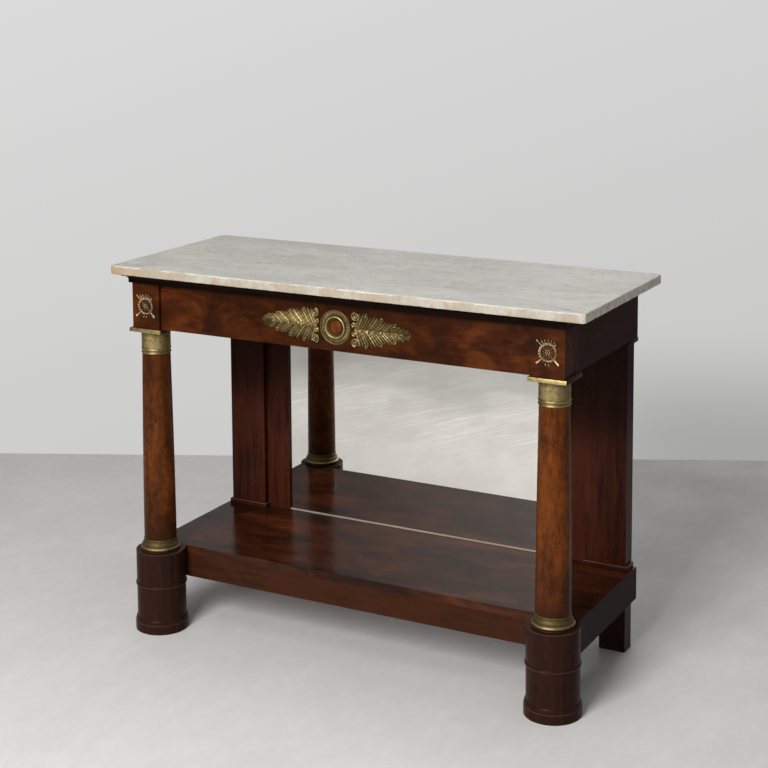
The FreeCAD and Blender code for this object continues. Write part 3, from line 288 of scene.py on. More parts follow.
def ball(centre, radii, steps=16, rings=9):
    """An egg on three radii: centre + (a cos p cos t, b cos p sin t, c sin p)."""
    turn = around(steps)
    tilt = np.linspace(-np.pi / 2, np.pi / 2, rings)[:, None]
    a, b, c = radii
    return np.stack([centre[0] + a * np.cos(tilt) * np.cos(turn), centre[1] + b * np.cos(tilt) * np.sin(turn),
                     centre[2] + c * np.sin(tilt) * np.ones_like(turn)], -1)


def worn_slab(low, high, radii, ease):
    """A slab with rounded corners and rubbed arrises, as rings carried from the top's middle to the bottom's.

    radii are the plan radii of the front and the back corners. The arris is a quarter round whose radius
    wavers round the slab with products of sines, and grows to a chip where three of them peak together.
    """
    flat_rim, first_step, under = 12 * MM, 0.6 * MM, 0.7    # under: the lower arris as a share of the upper
    front, back = radii
    corners = ((high[0], high[1], back), (low[0], high[1], back), (low[0], low[1], front), (high[0], low[1], front))
    arcs, plan, out = [], [], []
    for quarter, (x, y, radius) in enumerate(corners):
        angle = np.linspace(quarter, quarter + 1, 10) * np.pi / 2
        away = np.stack([np.cos(angle), np.sin(angle)], -1)
        arcs.append((np.array([x, y]) - np.sign([x, y]) * radius + away * radius, away))
    for (arc, away), (following, _) in zip(arcs, arcs[1:] + arcs[:1]):
        straight = following[0] - arc[-1]
        count = int(np.linalg.norm(straight) / SLAB_STEP)
        plan += [arc, arc[-1] + straight * np.linspace(0, 1, count + 2)[1:-1, None]]
        out += [away, np.broadcast_to(away[-1], (count, 2))]
    plan, out = np.concatenate(plan), np.concatenate(out)
    turn = np.linspace(0, 2 * np.pi, len(plan), endpoint=False)
    waver = 0.6 * np.sin(11 * turn) * np.sin(39 * turn + 1.3) + 0.4 * np.sin(113 * turn + 0.7) * np.sin(9 * turn)
    chip = np.clip(np.sin(23 * turn + 0.4) * np.sin(61 * turn) * np.sin(149 * turn + 2.0) - 0.35, 0, 1)
    radius = ease * (1 + 0.35 * waver + 1.6 * chip)
    skin = 0.25 * MM * (1 + np.sin(31 * turn + 0.9) * np.sin(7 * turn))
    swing = np.linspace(0, np.pi / 2, 6)[:, None]
    rim = np.full((1, len(plan)), flat_rim)
    inset = np.concatenate([rim, radius[None] + first_step, radius * (1 - np.sin(swing)),
                            radius * under * (1 - np.cos(swing)), under * radius[None] + first_step, rim]) + skin
    top, bottom = np.full((2, len(plan)), high[2]), np.full((2, len(plan)), low[2])
    height = np.concatenate([top, high[2] - radius * (1 - np.cos(swing)),
                             low[2] + under * radius * (1 - np.sin(swing)), bottom])
    flat = plan[None] - out[None] * inset[..., None]
    rings = np.concatenate([flat, height[..., None]], -1)
    caps = [np.broadcast_to([0.0, (low[1] + high[1]) / 2, z], rings[:1].shape) for z in (high[2], low[2])]
    return np.concatenate([caps[0], rings, caps[1]])


def both_sides(grids):
    """The grids on the right, and then carried over to the left."""
    return grids + [points * MIRRORED for points in grids]


# ---------------- pieces
def make_piece(name, grids, finish, replaces=(), body="root", loop_rows=False, relief=None, sharp=35):
    """One object from grids of points; neighbours make quads, each row is a closed loop, doubles are merged.

    With loop_rows the last row joins the first as well. relief holds, for each grid, a share from 0 in the
    hollows to 1 on the crests, kept as a point attribute for the finish. The finish names the piece's material.
    """
    # On the woods the same share marks painted shade (column feet, the boss's rim) and painted highlights on rubbed
    # edges.
    points, faces, shares, start = [], [], [], 0
    for number, grid in enumerate(grids):
        rows, columns = grid.shape[:2]
        index = start + np.arange(rows * columns).reshape(rows, columns)
        index = np.hstack([index, index[:, :1]])
        if loop_rows:
            index = np.vstack([index, index[:1]])
        quads = np.stack([index[:-1, :-1], index[1:, :-1], index[1:, 1:], index[:-1, 1:]], -1)
        points.append(grid.reshape(-1, 3))
        faces.append(quads.reshape(-1, 4))
        share = np.ones((rows, columns)) if relief is None else relief[number]
        shares.append(np.broadcast_to(share, (rows, columns)).ravel())
        start += rows * columns
    points, faces = np.concatenate(points), np.concatenate(faces)
    mesh = bpy.data.meshes.new(name)
    mesh.vertices.add(len(points))
    mesh.vertices.foreach_set("co", points.astype(np.float32).ravel())
    mesh.loops.add(faces.size)
    mesh.loops.foreach_set("vertex_index", faces.astype(np.int32).ravel())
    mesh.polygons.add(len(faces))
    mesh.polygons.foreach_set("loop_start", np.arange(0, faces.size, 4, dtype=np.int32))
    mesh.polygons.foreach_set("loop_total", np.full(len(faces), 4, dtype=np.int32))
    mesh.update(calc_edges=True)
    layer = mesh.attributes.new("relief", "FLOAT", "POINT")
    layer.data.foreach_set("value", np.concatenate(shares).astype(np.float32))
    weld(mesh)
    mesh.polygons.foreach_set("use_smooth", np.ones(len(mesh.polygons), bool))
    mesh.set_sharp_from_angle(angle=math.radians(sharp))
    piece = bpy.data.objects.new(name, mesh)
    bpy.context.scene.collection.objects.link(piece)
    mesh.materials.append(FINISH[finish])
    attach(piece, body)
    if replaces:
        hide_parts(*replaces)


def weld(mesh):
    """Merges doubles along seams and poles, then turns every closed shell's faces outwards."""
    work = bmesh.new()
    work.from_mesh(mesh)
    bmesh.ops.remove_doubles(work, verts=work.verts, dist=1e-6)
    bmesh.ops.recalc_face_normals(work, faces=work.faces)
    work.to_mesh(mesh)
    work.free()
    mesh.update()


def paint(finish, nodes):
    """Gives CAD nodes their finish."""
    for name in nodes:
        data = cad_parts[name].data
        data.materials.clear()
        data.materials.append(FINISH[finish])


# ---------------- finishes
class Nodes:
    """Builds a node tree; each method adds nodes and returns an output to build on."""

    def __init__(self, tree):
        self.tree = tree
        tree.nodes.clear()

    def put(self, kind, inputs=None, **settings):
        """Adds a shader node with settings and inputs; an input is a constant or another node's output."""
        node = self.tree.nodes.new(f"ShaderNode{kind}")
        for key, value in settings.items():
            setattr(node, key, value)
        for key, value in (inputs or {}).items():
            if isinstance(value, bpy.types.NodeSocket):
                self.tree.links.new(value, node.inputs[key])
            else:
                node.inputs[key].default_value = value
        return node

    def math(self, operation, first, second=0.0):
        """One arithmetic step."""
        return self.put("Math", {0: first, 1: second}, operation=operation).outputs[0]

    def times(self, first, second):
        return self.math("MULTIPLY", first, second)

    def plus(self, first, second):
        return self.math("ADD", first, second)

    def minus(self, first, second):
        return self.math("SUBTRACT", first, second)

    def spread(self, value, low, high, to_low=0.0, to_high=1.0, smooth=True):
        """Stretches a range to another one, clamped, and smoothly unless told otherwise."""
        return self.put("MapRange", {"Value": value, "From Min": low, "From Max": high,
                                     "To Min": to_low, "To Max": to_high},
                        interpolation_type="SMOOTHSTEP" if smooth else "LINEAR").outputs[0]

    def mix(self, share, first, second):
        """Blends two colours."""
        return self.put("Mix", {0: share, 6: colour(first), 7: colour(second)}, data_type="RGBA").outputs[2]

    def over(self, base, tone, value, *stretch):
        """Lays a tone over a base where a value, stretched to a share, is high."""
        return self.mix(self.spread(value, *stretch), base, tone)


class Finish(Nodes):
    """A surface material laid out in the object's own coordinates."""

    def __init__(self, name):
        self.material = bpy.data.materials.new(name)
        self.material.use_nodes = True
        super().__init__(self.material.node_tree)
        self.place = self.put("TexCoord").outputs["Object"]

    def axis(self, number):
        """One of the object's own coordinates: 0, 1 or 2 for x, y or z."""
        return self.put("SeparateXYZ", {0: self.place}).outputs[number]

    def relief(self):
        """The piece's own share of relief, 0 in the hollows and 1 on the crests."""
        # On the woods it marks painted shade and painted highlights.
        return self.put("Attribute", attribute_name="relief").outputs["Fac"]

    def mapped(self, scale, turn=(0, 0, 0), vector=None):
        """Coordinates stretched and turned."""
        return self.put("Mapping", {"Vector": vector or self.place, "Scale": scale,
                                    "Rotation": [math.radians(a) for a in turn]}).outputs[0]

    def noise(self, vector, scale, detail=3.0, roughness=0.55, distortion=0.0):
        """Cloudy noise from 0 to 1."""
        return self.put("TexNoise", {"Vector": vector, "Scale": scale, "Detail": detail,
                                     "Roughness": roughness, "Distortion": distortion}).outputs[0]

    def ramp(self, value, *stops):
        """Colours along a scale; stops are (position, colour)."""
        node = self.put("ValToRGB", {0: value})
        band = node.color_ramp
        while len(band.elements) < len(stops):
            band.elements.new(0.5)
        for element, (position, tone) in zip(band.elements, stops):
            element.position = position
            element.color = colour(tone)
        return node.outputs[0]

    def warped(self, vector, scale, reach):
        """Coordinates pushed about by a noise, so that bands swirl."""
        push = self.put("TexNoise", {"Vector": vector, "Scale": scale, "Detail": 3.0}).outputs[1]
        centred = self.put("VectorMath", {0: push, 1: (0.5, 0.5, 0.5)}, operation="SUBTRACT").outputs[0]
        return self.put("VectorMath", {0: centred, 1: (reach,) * 3, 2: vector}, operation="MULTIPLY_ADD").outputs[0]

    def bump(self, height, distance, strength):
        """Small surface relief."""
        return self.put("Bump", {"Height": height, "Distance": distance, "Strength": strength}).outputs[0]

    def total(self, *parts):
        """Sum of (value, weight) pairs."""
        return reduce(self.plus, [self.times(*part) for part in parts])

    def waxed(self, worn, gloss):
        """Roughness of a waxed surface, a little either side of its gloss."""
        return self.plus(self.times(worn, 0.12), gloss - 0.06)

    def surface(self, base, roughness, normal=None, **constants):
        """The shader itself, with its constants set on its own sockets."""
        inputs = {"Base Color": base, "Roughness": roughness}
        if normal:
            inputs["Normal"] = normal
        inputs.update({key.replace("_", " "): value for key, value in constants.items()})
        shader = self.put("BsdfPrincipled", inputs)
        self.put("OutputMaterial", {"Surface": shader.outputs[0]})
        return self.material


def colour(value):
    """A colour with its alpha, or an output as it is."""
    return value if isinstance(value, bpy.types.NodeSocket) else (*tuple(value)[:3], 1.0)


def toned(tone, share):
    """A colour made lighter or darker, never brighter than a pale wall."""
    return [min(v * share, 0.92) for v in tone]


GRAIN = {"x": (0.07, 1, 1), "y": (1, 0.07, 1), "z": (1, 1, 0.07)}
PORE, FLAME_PORE = (0.006, 0.003, 0.002), (0.008, 0.003, 0.002)
WOOD_RELIEF = 0.08 * MM
CREEP = 1.6 * MM                    # how far the slab's top colour wavers down its edge


def straight_wood(name, dark, light, along, gloss=0.26, cloud=0.35, shine=0.06, ribbon=0.0, worn_highlight=None, frieze_shadow=None):
    """Veneer with straight fibres along one axis, faint clouds, pores and a waxed surface.

    A colour for edges shows where a piece's own relief attribute falls to 0: rubbed wood with a painted highlight
    along the edges.
    A pair of heights sets a painted shadow cast by the frieze: between them the wood turns as dark as its shade.
    """
    f = Finish(name)
    fibres = f.mapped(GRAIN[along], vector=f.warped(f.place, 5.0, 0.012))
    stripe = f.noise(fibres, 90, 4.0, 0.6)
    thread = f.noise(fibres, 420, 3.0, 0.6)
    patch = f.noise(f.place, 9.0, 3.0, 0.55, 0.6)
    band = f.noise(f.mapped(GRAIN[along], vector=f.warped(f.place, 3.0, 0.02)), 62, 2.0, 0.5)
    tone = f.total((stripe, 0.55), (patch, cloud), (thread, 0.45 - cloud * 0.4), (f.minus(band, 0.5), ribbon))
    base = f.ramp(f.spread(tone, 0.32, 0.72), (0.0, dark), (1.0, light))
    pores = f.noise(f.mapped(GRAIN[along]), 900, 2.0, 0.5)
    base = f.over(base, PORE, pores, 0.60, 0.74, 0.0, 0.55)
    # Painted shadow of the frieze, between the pair of heights.
    if frieze_shadow:
        base = f.over(base, toned(dark, 0.5), f.axis(2), *frieze_shadow, 0.0, 0.68)
    worn = f.noise(f.place, 26, 4.0, 0.6)
    # Pale rubbed edges: wear with a painted highlight.
    if worn_highlight:
        rubbed = f.spread(f.relief(), 0.0, 1.0, 0.9, 0.0)
        base = f.mix(f.times(rubbed, f.spread(worn, 0.30, 0.55, 0.45, 1.0)), base, worn_highlight)
    normal = f.bump(f.plus(thread, f.times(worn, 2.0)), WOOD_RELIEF, 0.35)
    return f.surface(base, f.waxed(worn, gloss), normal, Specular_IOR_Level=shine)


def mottled_wood(name, dark, light):
    """Column veneer: upright stripes that break up into a warm mottle, with clustered dark flecks.

    Where the piece's own relief falls towards 0 the wood takes a painted shade.
    """
    f = Finish(name)
    swirl = f.warped(f.place, 9.0, 0.035)
    stripe = f.noise(f.mapped((1.0, 1.0, 0.16), vector=swirl), 62, 3.0, 0.55)
    mottle = f.noise(f.mapped((1.0, 1.0, 0.55), vector=swirl), 95, 5.0, 0.66)
    broad = f.noise(f.mapped((1.0, 1.0, 0.7)), 6.5, 3.0, 0.55, 0.4)
    tone = f.total((stripe, 0.30), (mottle, 0.28), (broad, 0.42))
    base = f.ramp(f.spread(tone, 0.37, 0.65), (0.0, dark), (1.0, light))
    fleck = f.noise(f.mapped((1.0, 1.0, 0.34)), 230, 3.0, 0.62)
    where = f.spread(f.noise(f.place, 15.0, 3.0, 0.6), 0.44, 0.62, 0.15, 0.8)
    base = f.mix(f.times(f.spread(fleck, 0.52, 0.66), where), base, toned(dark, 0.42))
    thread = f.noise(f.mapped(GRAIN["z"]), 420, 3.0, 0.6)
    base = f.over(base, dark, thread, 0.42, 0.66, 0.22, 0.0)
    # Painted shade where the relief share is low: the dark platform's reflection at the columns' feet, the boss's
    # rim.
    base = f.over(base, toned(dark, 0.6), f.relief(), 0.0, 1.0, 0.8, 0.0)
    worn = f.noise(f.place, 30, 4.0, 0.6)
    normal = f.bump(f.plus(thread, f.times(worn, 2.0)), WOOD_RELIEF, 0.35)
    return f.surface(base, f.waxed(worn, 0.28), normal, Specular_IOR_Level=0.08)


def flame_wood(name, dark, middle_tone, light, gloss=0.26, shine=0.06, stretch=0.8, figure=1.0, ends=None,
               heart=None, cornice_shade=None):
    """Crotch veneer: soft dark clouds, warm plumes that lean one way and fine fibres over them.

    figure makes the clouds and plumes finer. The wood is darker within x = heart on either side, and takes a painted
    shade under the cornice between two given heights. Past x = ends the polish is dull, with a painted shade.
    """
    f = Finish(name)
    swirl = f.warped(f.place, 6.0, 0.05)
    clouds = f.noise(f.mapped((stretch, 1.0, 1.5), (0, 14, 0), swirl), 13.0 * figure, 3.5, 0.52, 0.6)
    plume = f.noise(f.mapped((0.45 * stretch, 1.0, 2.4), (0, 26, 0), swirl), 40.0 * figure, 5.0, 0.60, 0.3)
    tone = f.total((clouds, 0.74), (plume, 0.26))
    base = f.ramp(f.spread(tone, 0.29, 0.70), (0.0, dark), (0.5, middle_tone), (1.0, light))
    glow = f.noise(f.mapped((0.9, 1.0, 1.2), vector=swirl), 24.0 * figure, 3.0, 0.5)
    base = f.over(base, light, glow, 0.54, 0.72, 0.0, 0.45)
    thread = f.noise(f.mapped((0.14, 1, 1), (0, 8, 0), swirl), 210, 4.0, 0.62)
    base = f.over(base, dark, thread, 0.35, 0.62, 0.22, 0.0)
    pores = f.noise(f.mapped((0.12, 1, 1), (0, 12, 0)), 800, 2.0, 0.5)
    base = f.over(base, FLAME_PORE, pores, 0.60, 0.74, 0.0, 0.35)
    worn = f.noise(f.place, 30, 4.0, 0.6)
    rough = f.waxed(worn, gloss)
    normal = f.bump(f.plus(thread, worn), WOOD_RELIEF, 0.35)
    aside = f.math("ABSOLUTE", f.axis(0))
    if heart:
        base = f.over(base, toned(dark, 0.6), aside, heart, heart * 1.35, 0.45, 0.0)
    # Painted shade on the frieze under the cornice.
    if cornice_shade:
        base = f.over(base, toned(dark, 0.7), f.axis(2), *cornice_shade, 0.0, 0.6)
    # Past the top's ends: a painted shade on the end faces, and a duller polish.
    if ends:
        past = f.spread(aside, ends - 0.8 * MM, ends - 0.1 * MM)
        base = f.mix(f.times(past, 0.85), base, toned(dark, 0.5))
        rough = f.plus(rough, f.times(past, 0.45))
    return f.surface(base, rough, normal, Specular_IOR_Level=shine)


def gilt(name, bright, dull):
    """Mercury-gilt bronze: rubbed crests, dulled hollows and small stains."""
    f = Finish(name)
    share, blotch = f.relief(), srgb(112, 90, 58)
    stain = f.noise(f.place, 95, 5.0, 0.66)
    fine = f.noise(f.place, 600, 3.0, 0.6)
    worn = f.times(share, f.spread(stain, 0.34, 0.60, 0.50, 1.0))
    base = f.mix(worn, dull, bright)
    base = f.over(base, blotch, stain, 0.56, 0.74, 0.0, 0.4)
    rough = f.plus(f.spread(share, 0.0, 1.0, 0.58, 0.32), f.times(fine, 0.16))
    normal = f.bump(f.plus(fine, f.times(stain, 1.5)), 0.00018, 0.6)
    return f.surface(base, rough, normal, Metallic=1.0)


def marble(name, pale, grey, edge):
    """Clouded marble: grey drifts, short streaks, thin veins and yellowish spots; cream worn edges with pits.

    At the slab's right end the edges grow paler in a painted light.
    """
    f = Finish(name)
    streak_grey, streak_pale, vein_grey = srgb(152, 151, 147), srgb(210, 208, 202), srgb(128, 128, 123)
    spot_yellow, grain_grey = srgb(180, 171, 142), srgb(144, 143, 139)
    side_grey, side_pink, side_tan = srgb(186, 180, 168), srgb(178, 150, 124), srgb(170, 140, 104)
    side_painted_light, pit_brown, saw_brown = srgb(240, 234, 220), srgb(126, 102, 82), srgb(134, 120, 98)
    flow = f.warped(f.place, 4.0, 0.12)
    drift = f.noise(f.mapped((0.5, 1.1, 1.0), (0, 0, 8), flow), 8.0, 5.0, 0.62)
    top = f.ramp(f.spread(drift, 0.36, 0.66), (0.0, grey), (1.0, pale))
    streak = f.noise(f.mapped((0.40, 1.2, 1.0), (0, 0, 6), flow), 60.0, 5.0, 0.70, 0.2)
    top = f.over(top, streak_grey, streak, 0.52, 0.70, 0.0, 0.50)
    top = f.over(top, streak_pale, streak, 0.30, 0.46, 0.35, 0.0)
    vein = f.noise(f.mapped((0.45, 1.2, 1), (0, 0, 14), flow), 13.0, 4.0, 0.55, 0.7)
    line = f.math("ABSOLUTE", f.minus(vein, 0.5))
    presence = f.spread(f.noise(f.place, 8.0, 2.0), 0.46, 0.62)
    top = f.mix(f.times(f.spread(line, 0.0, 0.014, 0.50, 0.0), presence), top, vein_grey)
    spot = f.noise(f.mapped((0.6, 1, 1)), 17.0, 5.0, 0.66)
    top = f.over(top, spot_yellow, spot, 0.54, 0.68, 0.0, 0.38)
    grain = f.noise(f.place, 190, 4.0, 0.7)
    top = f.over(top, grain_grey, grain, 0.52, 0.70, 0.0, 0.25)
    blush = f.noise(f.mapped((1.0, 1.0, 0.6)), 14.0, 4.0, 0.62)
    side = f.over(edge, side_grey, blush, 0.43, 0.59)
    side = f.over(side, side_pink, f.noise(f.place, 38.0, 4.0, 0.65), 0.52, 0.66, 0.0, 0.6)
    x, level = f.axis(0), f.axis(2)
    side = f.over(side, side_tan, x, *SLAB_LEFT_END, 0.75, 0.0)
    pits = f.spread(f.noise(f.place, 320, 3.0, 0.6), 0.64, 0.72)
    side = f.mix(f.times(pits, 0.7), side, pit_brown)
    top_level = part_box("marble_top")[1].z
    # Painted light: the right end's edge turns pale cream.
    side = f.over(side, side_painted_light, x, *SLAB_PAINTED_LIGHT_END, 0.0, 0.8)
    sawn = f.spread(f.noise(f.mapped((1.0, 1.0, 0.7)), 130, 4.0, 0.7), 0.42, 0.62)
    side = f.mix(f.times(sawn, f.spread(x, *SAWN_END, 0.22, 0.55)), side, saw_brown)
    creep = f.spread(f.noise(f.mapped((0.6, 1.0, 1.0)), 55.0, 4.0, 0.6), 0.3, 0.7, -CREEP, CREEP)
    base = f.over(side, top, f.plus(level, creep), top_level - 2.6 * MM, top_level - 0.9 * MM)
    rough = f.spread(grain, 0.3, 0.7, 0.42, 0.58)
    normal = f.bump(f.minus(f.times(grain, 0.4), f.plus(pits, sawn)), 0.0003, 0.5)
    return f.surface(base, rough, normal, Specular_IOR_Level=0.25)


def silvered(name):
    """Old looking glass: clear reflection with a trace of haze and dust towards its foot."""
    f = Finish(name)
    haze = f.noise(f.place, 14, 5.0, 0.6)
    foot = f.spread(f.axis(2), *GLASS_FOOT, 0.10, 0.0)
    base = f.mix(f.spread(haze, 0.3, 0.7), srgb(235, 234, 230), srgb(228, 227, 221))
    rough = f.plus(f.spread(haze, 0.4, 0.8, 0.004, 0.02), foot)
    return f.surface(base, rough, Metallic=1.0)


def iron(name):
    """Dull steel with a little rust."""
    f = Finish(name)
    rust = f.noise(f.place, 300, 4.0, 0.6)
    base = f.mix(f.spread(rust, 0.45, 0.65), srgb(120, 116, 110), srgb(92, 62, 44))
    return f.surface(base, f.spread(rust, 0.3, 0.7, 0.4, 0.7), f.bump(rust, 0.0001, 0.5), Metallic=0.9)


def floor_finish(name, tone):
    """Pale sealed floor with soft mottling, fine specks, and long thin scuffs out in front, and painted shade further
    out.
    """
    f = Finish(name)
    y = f.axis(1)
    mottle = f.noise(f.place, 3.0, 5.0, 0.6)
    speck = f.noise(f.place, 130, 4.0, 0.7)
    base = f.over(tone, toned(tone, 0.93), mottle, 0.38, 0.64, 0.0, 0.7)
    base = f.over(base, toned(tone, 0.82), speck, 0.52, 0.72, 0.0, 0.30)
    cloudy = f.noise(f.mapped((1.0, 0.45, 1.0), (0, 0, -20), f.warped(f.place, 9.0, 0.03)), 26.0, 5.0, 0.7)
    base = f.over(base, toned(tone, 1.10), cloudy, 0.50, 0.66, 0.0, 0.30)
    base = f.over(base, toned(tone, 0.90), cloudy, 0.50, 0.34, 0.0, 0.30)
    turned = f.mapped((1.0, 1.0, 1.0), (0, 0, -25), f.warped(f.place, 1.2, 0.04))
    scuff = f.noise(f.mapped((1.0, 0.035, 1.0), vector=turned), 105.0, 3.0, 0.6)
    broad = f.noise(f.mapped((1.0, 0.3, 1.0), vector=turned), 4.0, 4.0, 0.6)
    front = f.spread(y, *SCUFFED_FLOOR, 1.0, 0.0)
    share = f.times(f.spread(scuff, 0.56, 0.61, 0.0, 1.0), f.spread(broad, 0.30, 0.54, 0.5, 1.0))
    base = f.mix(f.times(share, front), base, toned(tone, 1.22))
    shade = f.times(f.spread(broad, 0.50, 0.68, 0.0, 0.35), front)
    base = f.mix(shade, base, toned(tone, 0.80))
    # Painted shade far out in front, lifting towards the table.
    ahead = f.plus(y, f.spread(f.noise(f.place, 2.2, 3.0, 0.5), 0.35, 0.65, -0.12, 0.12))
    base = f.over(base, toned(tone, 0.35), ahead, *FLOOR_SHADE_REACH, 0.85, 0.0)
    rough = f.spread(mottle, 0.3, 0.7, 0.50, 0.62)
    return f.surface(base, rough, f.bump(speck, 0.0004, 0.3), Specular_IOR_Level=0.3)


def mix_finishes(choice):
    """All finishes of the table, from the chosen colours."""
    def pair(stem):
        return getattr(choice, f"{stem}_dark"), getattr(choice, f"{stem}_light")

    # A darker copy of the plain mahogany: painted shade for the side rails, which face away from the light.
    dull = [toned(tone, 0.7) for tone in pair("mahogany")]
    FINISH.update(
        flame=flame_wood("flame_mahogany", choice.flame_dark, choice.flame_middle, choice.flame_light,
                         figure=1.35, heart=HEART, cornice_shade=CORNICE_SHADE_HEIGHTS),
        platform=flame_wood("platform_mahogany", choice.platform_dark, choice.platform_middle,
                            choice.platform_light, gloss=0.17, shine=0.13, stretch=0.35,
                            ends=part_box("platform_top")[1].x),
        column=mottled_wood("column_mahogany", *pair("column")),
        boss=mottled_wood("boss_mahogany", choice.flame_middle, choice.column_light),
        # The mirror frame's uprights and top rail take the frieze's painted shadow.
        upright=straight_wood("mahogany_upright", *pair("mahogany"), "z", shine=0.045, ribbon=0.5, frieze_shadow=FRIEZE_SHADOW_HEIGHTS),
        across=straight_wood("mahogany_across", *pair("mahogany"), "x"),
        back_rail=straight_wood("mahogany_back_rail", *pair("mahogany"), "x", frieze_shadow=FRIEZE_SHADOW_HEIGHTS),
        # Side rails: the darker copy, as painted shade.
        deep=straight_wood("mahogany_deep", *dull, "y", shine=0.04),
        # Plinths and drums: pale rubbed edges that carry a painted highlight.
        plinth=straight_wood("mahogany_plinth", *pair("mahogany"), "x", worn_highlight=choice.rubbed_edge_highlight),
        # The cornice's tone is partly painted shade under the slab.
        cornice=straight_wood("cornice_across", *pair("cornice"), "x", shine=0.03),
        cornice_side=straight_wood("cornice_deep", *pair("cornice"), "y", shine=0.03),
        foot=straight_wood("stained_upright", *pair("stained"), "z", gloss=0.30),
        drum=straight_wood("stained_drum", *pair("stained"), "z", gloss=0.28, shine=0.045, worn_highlight=choice.rubbed_edge_highlight),
        rail=straight_wood("mahogany_rail", *pair("rail"), "x", cloud=0.5, shine=0.05),
        # The bead's pale colour carries a painted highlight.
        fillet=straight_wood("bead", *pair("fillet"), "x", gloss=0.40),
        carcase=straight_wood("carcase_wood", *pair("carcase"), "x", gloss=0.62),
        carcase_deep=straight_wood("carcase_wood_deep", *pair("carcase"), "y", gloss=0.62),
        carcase_upright=straight_wood("carcase_wood_upright", *pair("carcase"), "z", gloss=0.62),
        gilt=gilt("gilt_bronze", choice.gilt_bright, choice.gilt_dull),
        worn_gilt=gilt("worn_gilt_bronze", choice.worn_bright, choice.worn_dull),
        marble=marble("marble", choice.marble_pale, choice.marble_grey, choice.marble_edge),
        mirror=silvered("mirror"),
        iron=iron("iron"))


# ---------------- turned work
CAPITAL_LOW, CAPITAL_HIGH = (corner.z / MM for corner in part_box("capital_right"))
BASE_LOW, BASE_HIGH = (corner.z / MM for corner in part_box("base_ring_right"))
SHAFT_FOOT, SHAFT_TAPER, TAPER_POWER = 37.8, 5.2, 1.58
SLEEVED_FOOT, SLEEVED_NECK = 32.8, 27.6     # the shaft's radii inside the base and the capital
LATTICE_RADIUS, LATTICE_LEVELS = 33.0, 61
LATTICE_LOW, LATTICE_HIGH = CAPITAL_LOW + 14.2, CAPITAL_HIGH - 10.2
LATTICE_REST = 0.45                 # share of a diamond's height that stays at the drum's own radius
BELOW_LATTICE = 14.15               # heights over the capital's foot under which its rings lie

DRUM_TOP, BEAD_HIGH, BEAD_LOW, RING_HIGH = 192, 107.5, 104.5, 33.5
RING_RADIUS, LOWER_DRUM_RADIUS = 62, 57.2

# Shares over heights above a turned piece's foot, in millimetres.
# On the shaft: a painted shade that darkens its foot, for the dark platform's reflection.
SHAFT_FOOT_SHADE = ((0, 16, 45, 85, 130), (0.0, 0.3, 0.6, 0.55, 1.0))
# On the capital's rings: rubbed crests and dull grooves.
RINGS_RUBBED = ((0, 0.6, 2.3, 4.3, 4.8, 8.2, 8.6, 10.6, 12.8, 13.4, 14.2),
                (0.2, 0.4, 0.85, 0.55, 0.35, 0.5, 0.55, 0.85, 0.5, 0.3, 0.3))
# On the base: rubbed crests and dull grooves, with a painted shade on the underside of the torus.
BASE_RUBBED_AND_SHADED = ((0, 1.2, 3.6, 5.4, 7.2, 9.4, 9.8, 10.4, 11.2, 12.0, 12.8, 13.6, 14.4, 22.0, 24.6, 25.6, 26.5),
               (0.03, 0.03, 0.05, 0.25, 0.6, 0.25, 0.05, 0.3, 0.06, 0.3, 0.06, 0.22, 0.16, 0.14, 0.08, 0.34, 0.15))


def shaft_outline():
    """Shaft: r = R - (R - q) t^1.58 from foot to neck, a taper that grows towards the top."""
    t = np.linspace(0, 1, 40)
    shaft = np.stack([SHAFT_FOOT - SHAFT_TAPER * t ** TAPER_POWER, BASE_HIGH + (CAPITAL_LOW - BASE_HIGH) * t], -1)
    return profile((0, BASE_LOW), (SLEEVED_FOOT, BASE_LOW), (SLEEVED_FOOT, BASE_HIGH), shaft,
                   (SLEEVED_NECK, CAPITAL_LOW), (SLEEVED_NECK, CAPITAL_HIGH), (0, CAPITAL_HIGH))


def capital_outline():
    """Capital: two half-round rings, a drum for the lattice and a hollow flare under the plate."""
    low, high = CAPITAL_LOW, CAPITAL_HIGH
    lattice = np.stack([np.full(LATTICE_LEVELS, LATTICE_RADIUS),
                        np.linspace(LATTICE_LOW, LATTICE_HIGH, LATTICE_LEVELS)], -1)
    return profile((27.7, low), (33.0, low), curve((33.3, low + 0.3), (36.0, low + 2.3), (33.3, low + 4.3)),
                   (32.7, low + 4.6), curve((32.6, low + 5.0), (32.2, low + 6.5), (32.7, low + 8.2)),
                   curve((33.2, low + 8.4), (36.0, low + 10.6), (33.3, low + 12.8)), (33.0, low + 13.2),
                   (33.2, low + 13.9), lattice, (33.5, high - 9.8), (33.5, high - 8.8),
                   curve((33.3, high - 8.6), (33.6, high - 2.4), (37.2, high - 1.4)), (37.8, high - 1.0),
                   (37.8, high), (27.7, high))


def base_outline():
    """Base: a bead at the shaft, a hollow flare with two fine steps, and a full torus."""
    low, high = BASE_LOW, BASE_HIGH
    return profile((32.9, high), (38.2, high), curve((38.3, high - 0.1), (39.4, high - 1.0), (38.5, high - 2.0)),
                   curve((38.3, high - 2.4), (38.6, high - 9.6), (41.3, high - 11.4)), (41.6, high - 12.2),
                   (42.3, high - 12.4), (42.4, high - 13.8), (43.0, high - 14.0), (43.1, high - 15.4),
                   (43.2, high - 16.4), curve((43.4, low + 9.2), (48.6, low + 5.2), (44.4, low + 1.2), 14),
                   (44.0, low + 1.0), (44.6, low + 0.7), (44.6, low), (32.9, low))


